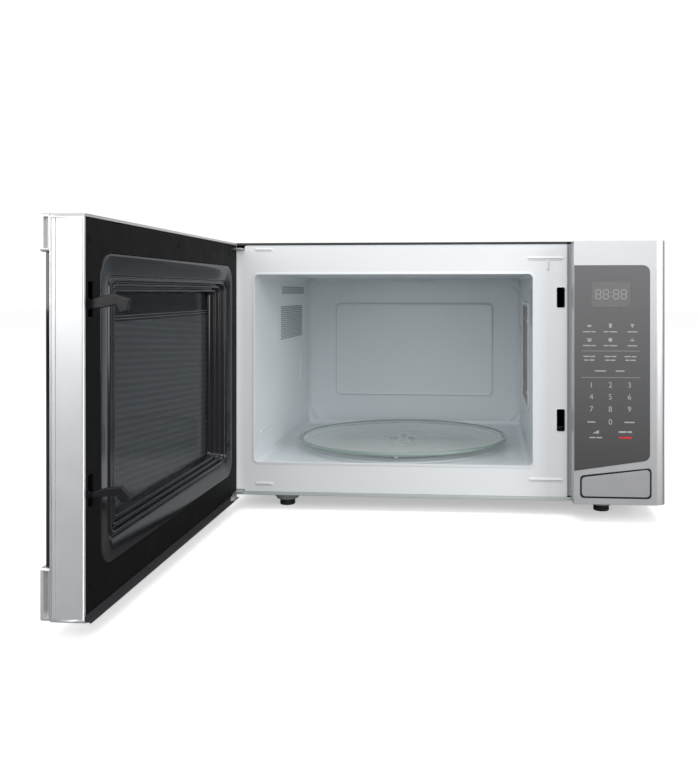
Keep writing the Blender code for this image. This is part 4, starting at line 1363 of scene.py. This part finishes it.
    def make_button_well_shade(self) -> None:
        """A dark liner behind the gap round the button, painted shade seen through the gap, with a hole for its
        stem.
        """
        low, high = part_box("release_button")
        x, _, z = middle((low, high))
        face = Face((x + 0.003, self.panel[0].y, z))
        section = [(0.0, -0.0165), (0.0, -0.0175), (0.0150, -0.0175), (0.0150, -0.0165)]
        grid = loft(high.x - low.x - 0.0030, high.z - low.z + 0.0060, 0.0060, section, 4)
        # the dark liner paints the shade inside the well
        self.shop.piece("button_well", ring_mesh(face.spread(grid)), SHADOW_BLACK)


# ------------------------------------------------------------------ door
@dataclass
class Door:
    """The open door: silver frame, trims, outer glass, and the inside with its stepped choke cover."""

    shop: Workshop
    panel: Box = boxed("door_inner_panel")
    cover: Box = boxed("choke_cover")
    frame_box: Box = boxed("door_frame")
    screen: Box = boxed("window_screen")
    ribs: int = 3
    rib_step: float = 0.0045
    rib_drop: float = 0.0027
    band_inset: float = 0.0178
    side_stretch: float = 1.15
    screen_top: float = 0.2400
    screen_margin: float = 0.0120
    trim_skin: float = 0.0024

    def build(self) -> None:
        """Makes all of the door's pieces."""
        self.make_frame()
        for node in ("door_top_trim", "door_bottom_trim"):
            self.make_trim(node)
        self.shop.softened("door_glass", DARK_GLASS, 0.0006, 3, "door_glass_pane")
        self.shop.softened("door_inner_panel", BLACK_PANEL, 0.0003, 2, "door_inner_sheet")
        self.shop.softened("latch_bar", HOOK_BLACK, 0.0007, 3, "latch_bar_hooks", angle=20)
        self.make_cover()
        self.make_window()
        self.make_screws()

    @staticmethod
    def inside(box: Box) -> Face:
        """The inner side of one of the door's sheets, from its middle, across towards the hinge."""
        return Face((box[1].x, *middle(box)[1:]), (0, 1, 0))

    def make_trim(self, node: str) -> None:
        """A silver bar across the door's face, hollow at its free end; it stands for the node.

        Args:
            node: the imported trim.
        """
        low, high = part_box(node)
        skin = self.trim_skin
        near = (low.x + skin, low.y - 0.01, low.z + skin)
        hollow = block(near, (high.x - 0.0005, low.y + 0.006, high.z - skin))
        self.shop.softened(node, LIT_DOOR_SILVER, 0.0004, 2, f"{node}_bar", [hollow], 25)

    def make_frame(self) -> None:
        """The silver frame, with grooves down its free edge, and thin dark strips under the inner sheet that paint
        the shade there.
        """
        low, high = self.frame_box
        face, past, edge = self.panel[1].x, low.y - 0.01, 0.0030
        upright = ((0.0252, 0.0012, 0.0014), (0.0221, 0.0007, 0.0006), (0.0012, 0.0006, 0.0005))
        cutters = [
            block((face - back - wide, past, low.z + edge), (face - back, low.y + deep, high.z - edge))
            for back, wide, deep in upright
        ]
        cutters += [
            block((face - 0.0262, past, level), (face - 0.0006, low.y + 0.0006, level + 0.0006))
            for level in (low.z + edge, high.z - 0.0036)
        ]
        self.shop.softened("door_frame", LIT_DOOR_SILVER, 0.0005, 3, "door_frame_moulding", cutters, 25)
        # paper-thin dark strips in the channel under the inner sheet: painted shade
        near, far = low.y + 0.0012, self.panel[1].y - 0.0250
        strips = joined([
            block((face + 0.0001, near, 0.0173), (face + 0.0004, far, 0.0217)),
            block((face + 0.0004, near, 0.0171), (high.x + 0.0001, far, 0.0174)),
            block((high.x, near, 0.0160), (high.x + 0.0003, far, 0.0174)),
        ])
        self.shop.piece("door_bottom_seal", strips, BLACK_PLASTIC, "door")

    def make_cover(self) -> None:
        """The choke cover: a broad glossy band inside its rim, then nested ribs down to the window.

        Each rib is a step inwards with a raised lip. The steps are wider at the sides than above and
        below.
        """
        low, high = self.cover
        width, height = high.y - low.y, high.z - low.z
        inset, lift, step = self.band_inset, -0.0030, self.rib_step
        line: list[Pair] = [
            (0.0, -0.0020), (0.0, 0.0004), (0.0007, 0.0009), (0.0022, 0.0008), (0.0170, -0.0012),
            (inset, lift),
        ]
        for _ in range(self.ribs):
            line += [(inset + step * 0.30, lift), (inset + step * 0.42, lift + 0.0018),
                     (inset + step * 0.82, lift + 0.0016), (inset + step, lift - self.rib_drop)]
            inset += step
            lift -= self.rib_drop
        line.append((inset + 0.0010, -0.0138))
        rows = []
        for inward, out in smooth_profile(line, 0.0009, 3):
            sideways = inward + max(0.0, inward - self.band_inset) * self.side_stretch
            radius = max(0.0196 - inward * 0.55, 0.003)
            rows.append(lifted(loop(width - 2 * sideways, height - 2 * inward, radius, 12), out))
        grid = np.array(rows)
        backs = grid[[-1, 0]].copy()
        backs[..., 2] = -0.0142
        mesh = ring_mesh(self.inside(self.cover).spread(np.concatenate([grid, backs])))
        self.shop.piece("choke_cover_moulding", mesh, BLACK_GLOSS, "door", ["choke_cover"], angle=40)

    def make_window(self) -> None:
        """The perforated screen with its plain margin, two light lines above it that paint a reflection, and the
        glossy film in front.
        """
        low, high = self.screen
        self.shop.softened("window_screen", BLACK_PANEL, 0.0002, 1, "screen_margin")
        face, base, top = self.inside(self.screen), self.screen_margin, self.screen_top - low.z
        width, height = high.y - low.y - 2 * self.screen_margin, top - base
        rise = (base + top) / 2 - (high.z - low.z) / 2
        stations = [(0.0, -0.0002), (0.0, 0.00025), (0.002, 0.0003), (height / 2 - 0.002, 0.0003)]
        grid = loft(width, height, 0.006, stations, 6)
        grid[..., 1] += rise
        # two light lines above the screen's top: a painted reflection of the cavity's edge
        lines = joined(
            bar((0.0, rise + height / 2 + gap), width - 0.008, 0.0006, face, -0.0001, 0.0003)
            for gap in (0.0022, 0.0048)
        )
        self.shop.piece("screen_border_lines", lines, SHADE_AND_REFLECTION_GREY, "door", slot="black_paint")
        self.shop.piece("perforated_screen_field", capped_mesh(face.spread(grid)), SCREEN, "door")
        self.shop.softened("window_film", FILM, 0.0002, 1, "window_film_sheet")

    def make_screws(self) -> None:
        """Flat screw heads in the inner sheet, two by the free edge, two by the hinge, two between."""
        free, hinge = self.panel[0].y, self.panel[1].y
        columns = (
            (free + 0.0075, 0.3065, 0.0435), (hinge - 0.0290, 0.3110, 0.0335),
            ((free + hinge) / 2, 0.3110, 0.0335),
        )
        face = Face((self.panel[1].x, 0.0, 0.0), (0, 1, 0))
        heads = joined(screw_head(face, (y, z), 0.0031, 0.0004) for y, *pair in columns for z in pair)
        self.shop.piece("door_screws", heads, BLACK_PANEL, "door", angle=25)


# ------------------------------------------------------------------ other solids and the stage
def dress_the_rest(shop: Workshop) -> None:
    """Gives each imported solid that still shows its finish, by its material slot.

    Args:
        shop: the workshop, which knows each solid's slot.
    """
    for name, node in frame["nodes"].items():
        node.data.materials.clear()
        node.data.materials.append(SLOT_FINISHES[shop.slot_of[name]].material())


@dataclass(frozen=True)
class Stage:
    """Pale floor, soft studio lights and the camera."""

    lens: float = 40.13
    sensor: float = 36.0
    aspect: float = 698 / 782
    eye: Color = (0.3094, -1.0480, 0.2651)
    yaw: float = 4.665
    pitch: float = -0.046
    shift: Pair = (-0.0770, -0.1249)
    floor_reach: float = 12.0
    world_light: float = 0.58
    world_seen: float = 1.05

    def build(self) -> None:
        """Makes the floor, the lights, the world and the camera."""
        self.make_floor()
        self.make_world()
        self.make_light("overhead_softbox", (0.1, -0.1, 1.7), (0.05, 0.0, 0.0), 1.6, 16.0)
        self.make_light("front_softbox", (0.15, -1.8, 0.85), (0.05, 0.1, 0.18), 1.5, 12.0)
        self.make_light("left_front_softbox", (-1.05, -1.7, 0.66), (-0.2, -0.3, 0.25), 0.9, 7.0)
        self.make_light("right_softbox", (1.5, -1.0, 0.5), (0.25, 0.0, 0.2), 0.9, 12.0)
        self.make_camera()
        bpy.context.scene.view_settings.view_transform = "Standard"

    def make_floor(self) -> None:
        """A wide paper floor. Seen directly it is white; what it gives back to the object is held down."""
        far = self.floor_reach
        corners = [[[x, y, 0] for x in (-far, far)] for y in (-far, far)]
        mesh = grid_mesh(np.array(corners, float))
        graph = Graph("paper_floor")
        seen = graph.node("ShaderNodeLightPath", outlet="Is Camera Ray")
        graph.set("Base Color", graph.blend(seen, (0.18, 0.18, 0.184), (0.97, 0.97, 0.97)))
        graph.set("Emission Color", graph.blend(seen, (0.0, 0.0, 0.0), (1.0, 1.0, 1.0)))
        graph.set("Emission Strength", 0.42)
        graph.set("Roughness", 0.9)
        graph.set("Specular IOR Level", 0.1)
        mesh.materials.append(graph.material)
        floor = add_object("floor", mesh)

    def make_world(self) -> None:
        """A white surround, dimmer as a light source than it looks."""
        world = bpy.data.worlds.new("studio")
        world.use_nodes = True
        nodes, links = world.node_tree.nodes, world.node_tree.links
        ground = nodes["Background"]
        ground.inputs["Color"].default_value = (1.0, 1.0, 1.0, 1.0)
        path = nodes.new("ShaderNodeLightPath")
        level = nodes.new("ShaderNodeMapRange")
        level.inputs["To Min"].default_value = self.world_light
        level.inputs["To Max"].default_value = self.world_seen
        links.new(path.outputs["Is Camera Ray"], level.inputs["Value"])
        links.new(level.outputs["Result"], ground.inputs["Strength"])
        bpy.context.scene.world = world

    @staticmethod
    def make_light(name: str, place: Color, target: Color, size: float, power: float) -> None:
        """A square area light that points at a target.

        Args:
            name: its name.
            place: where it is.
            target: where it points.
            size: its side.
            power: in watts.
        """
        data = bpy.data.lights.new(name, "AREA")
        data.size = size
        data.energy = power
        lamp = add_object(name, data)
        lamp.location = place
        lamp.rotation_euler = (Vector(target) - Vector(place)).to_track_quat("-Z", "Y").to_euler()

    def make_camera(self) -> None:
        """The camera, placed from the cabinet's left side and front plate."""
        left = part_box("case_wrap")[0].x - 0.0003
        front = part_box("front_plate")[0].y
        data = bpy.data.cameras.new("camera")
        data.sensor_fit = "VERTICAL"
        data.sensor_height = self.sensor
        data.sensor_width = self.sensor * self.aspect
        data.lens = self.lens
        data.shift_x, data.shift_y = self.shift
        camera = add_object("camera", data)
        camera.location = (left + self.eye[0], front + self.eye[1], self.eye[2])
        camera.rotation_euler = (math.radians(90 + self.pitch), 0.0, math.radians(self.yaw))
        bpy.context.scene.camera = camera


def main() -> None:
    """Builds the sub-assemblies in order and hands the scene over."""
    logging.basicConfig(level=logging.INFO, format="%(message)s")
    Stage().build()
    shop = Workshop()
    dress_the_rest(shop)
    plate = FrontPlate(shop)
    plate.build()
    Cavity(shop, plate.mouth()).build()
    for assembly in (Case, Turntable, ControlPanel, Door):
        assembly(shop).build()


if __name__ == "__main__":
    main()
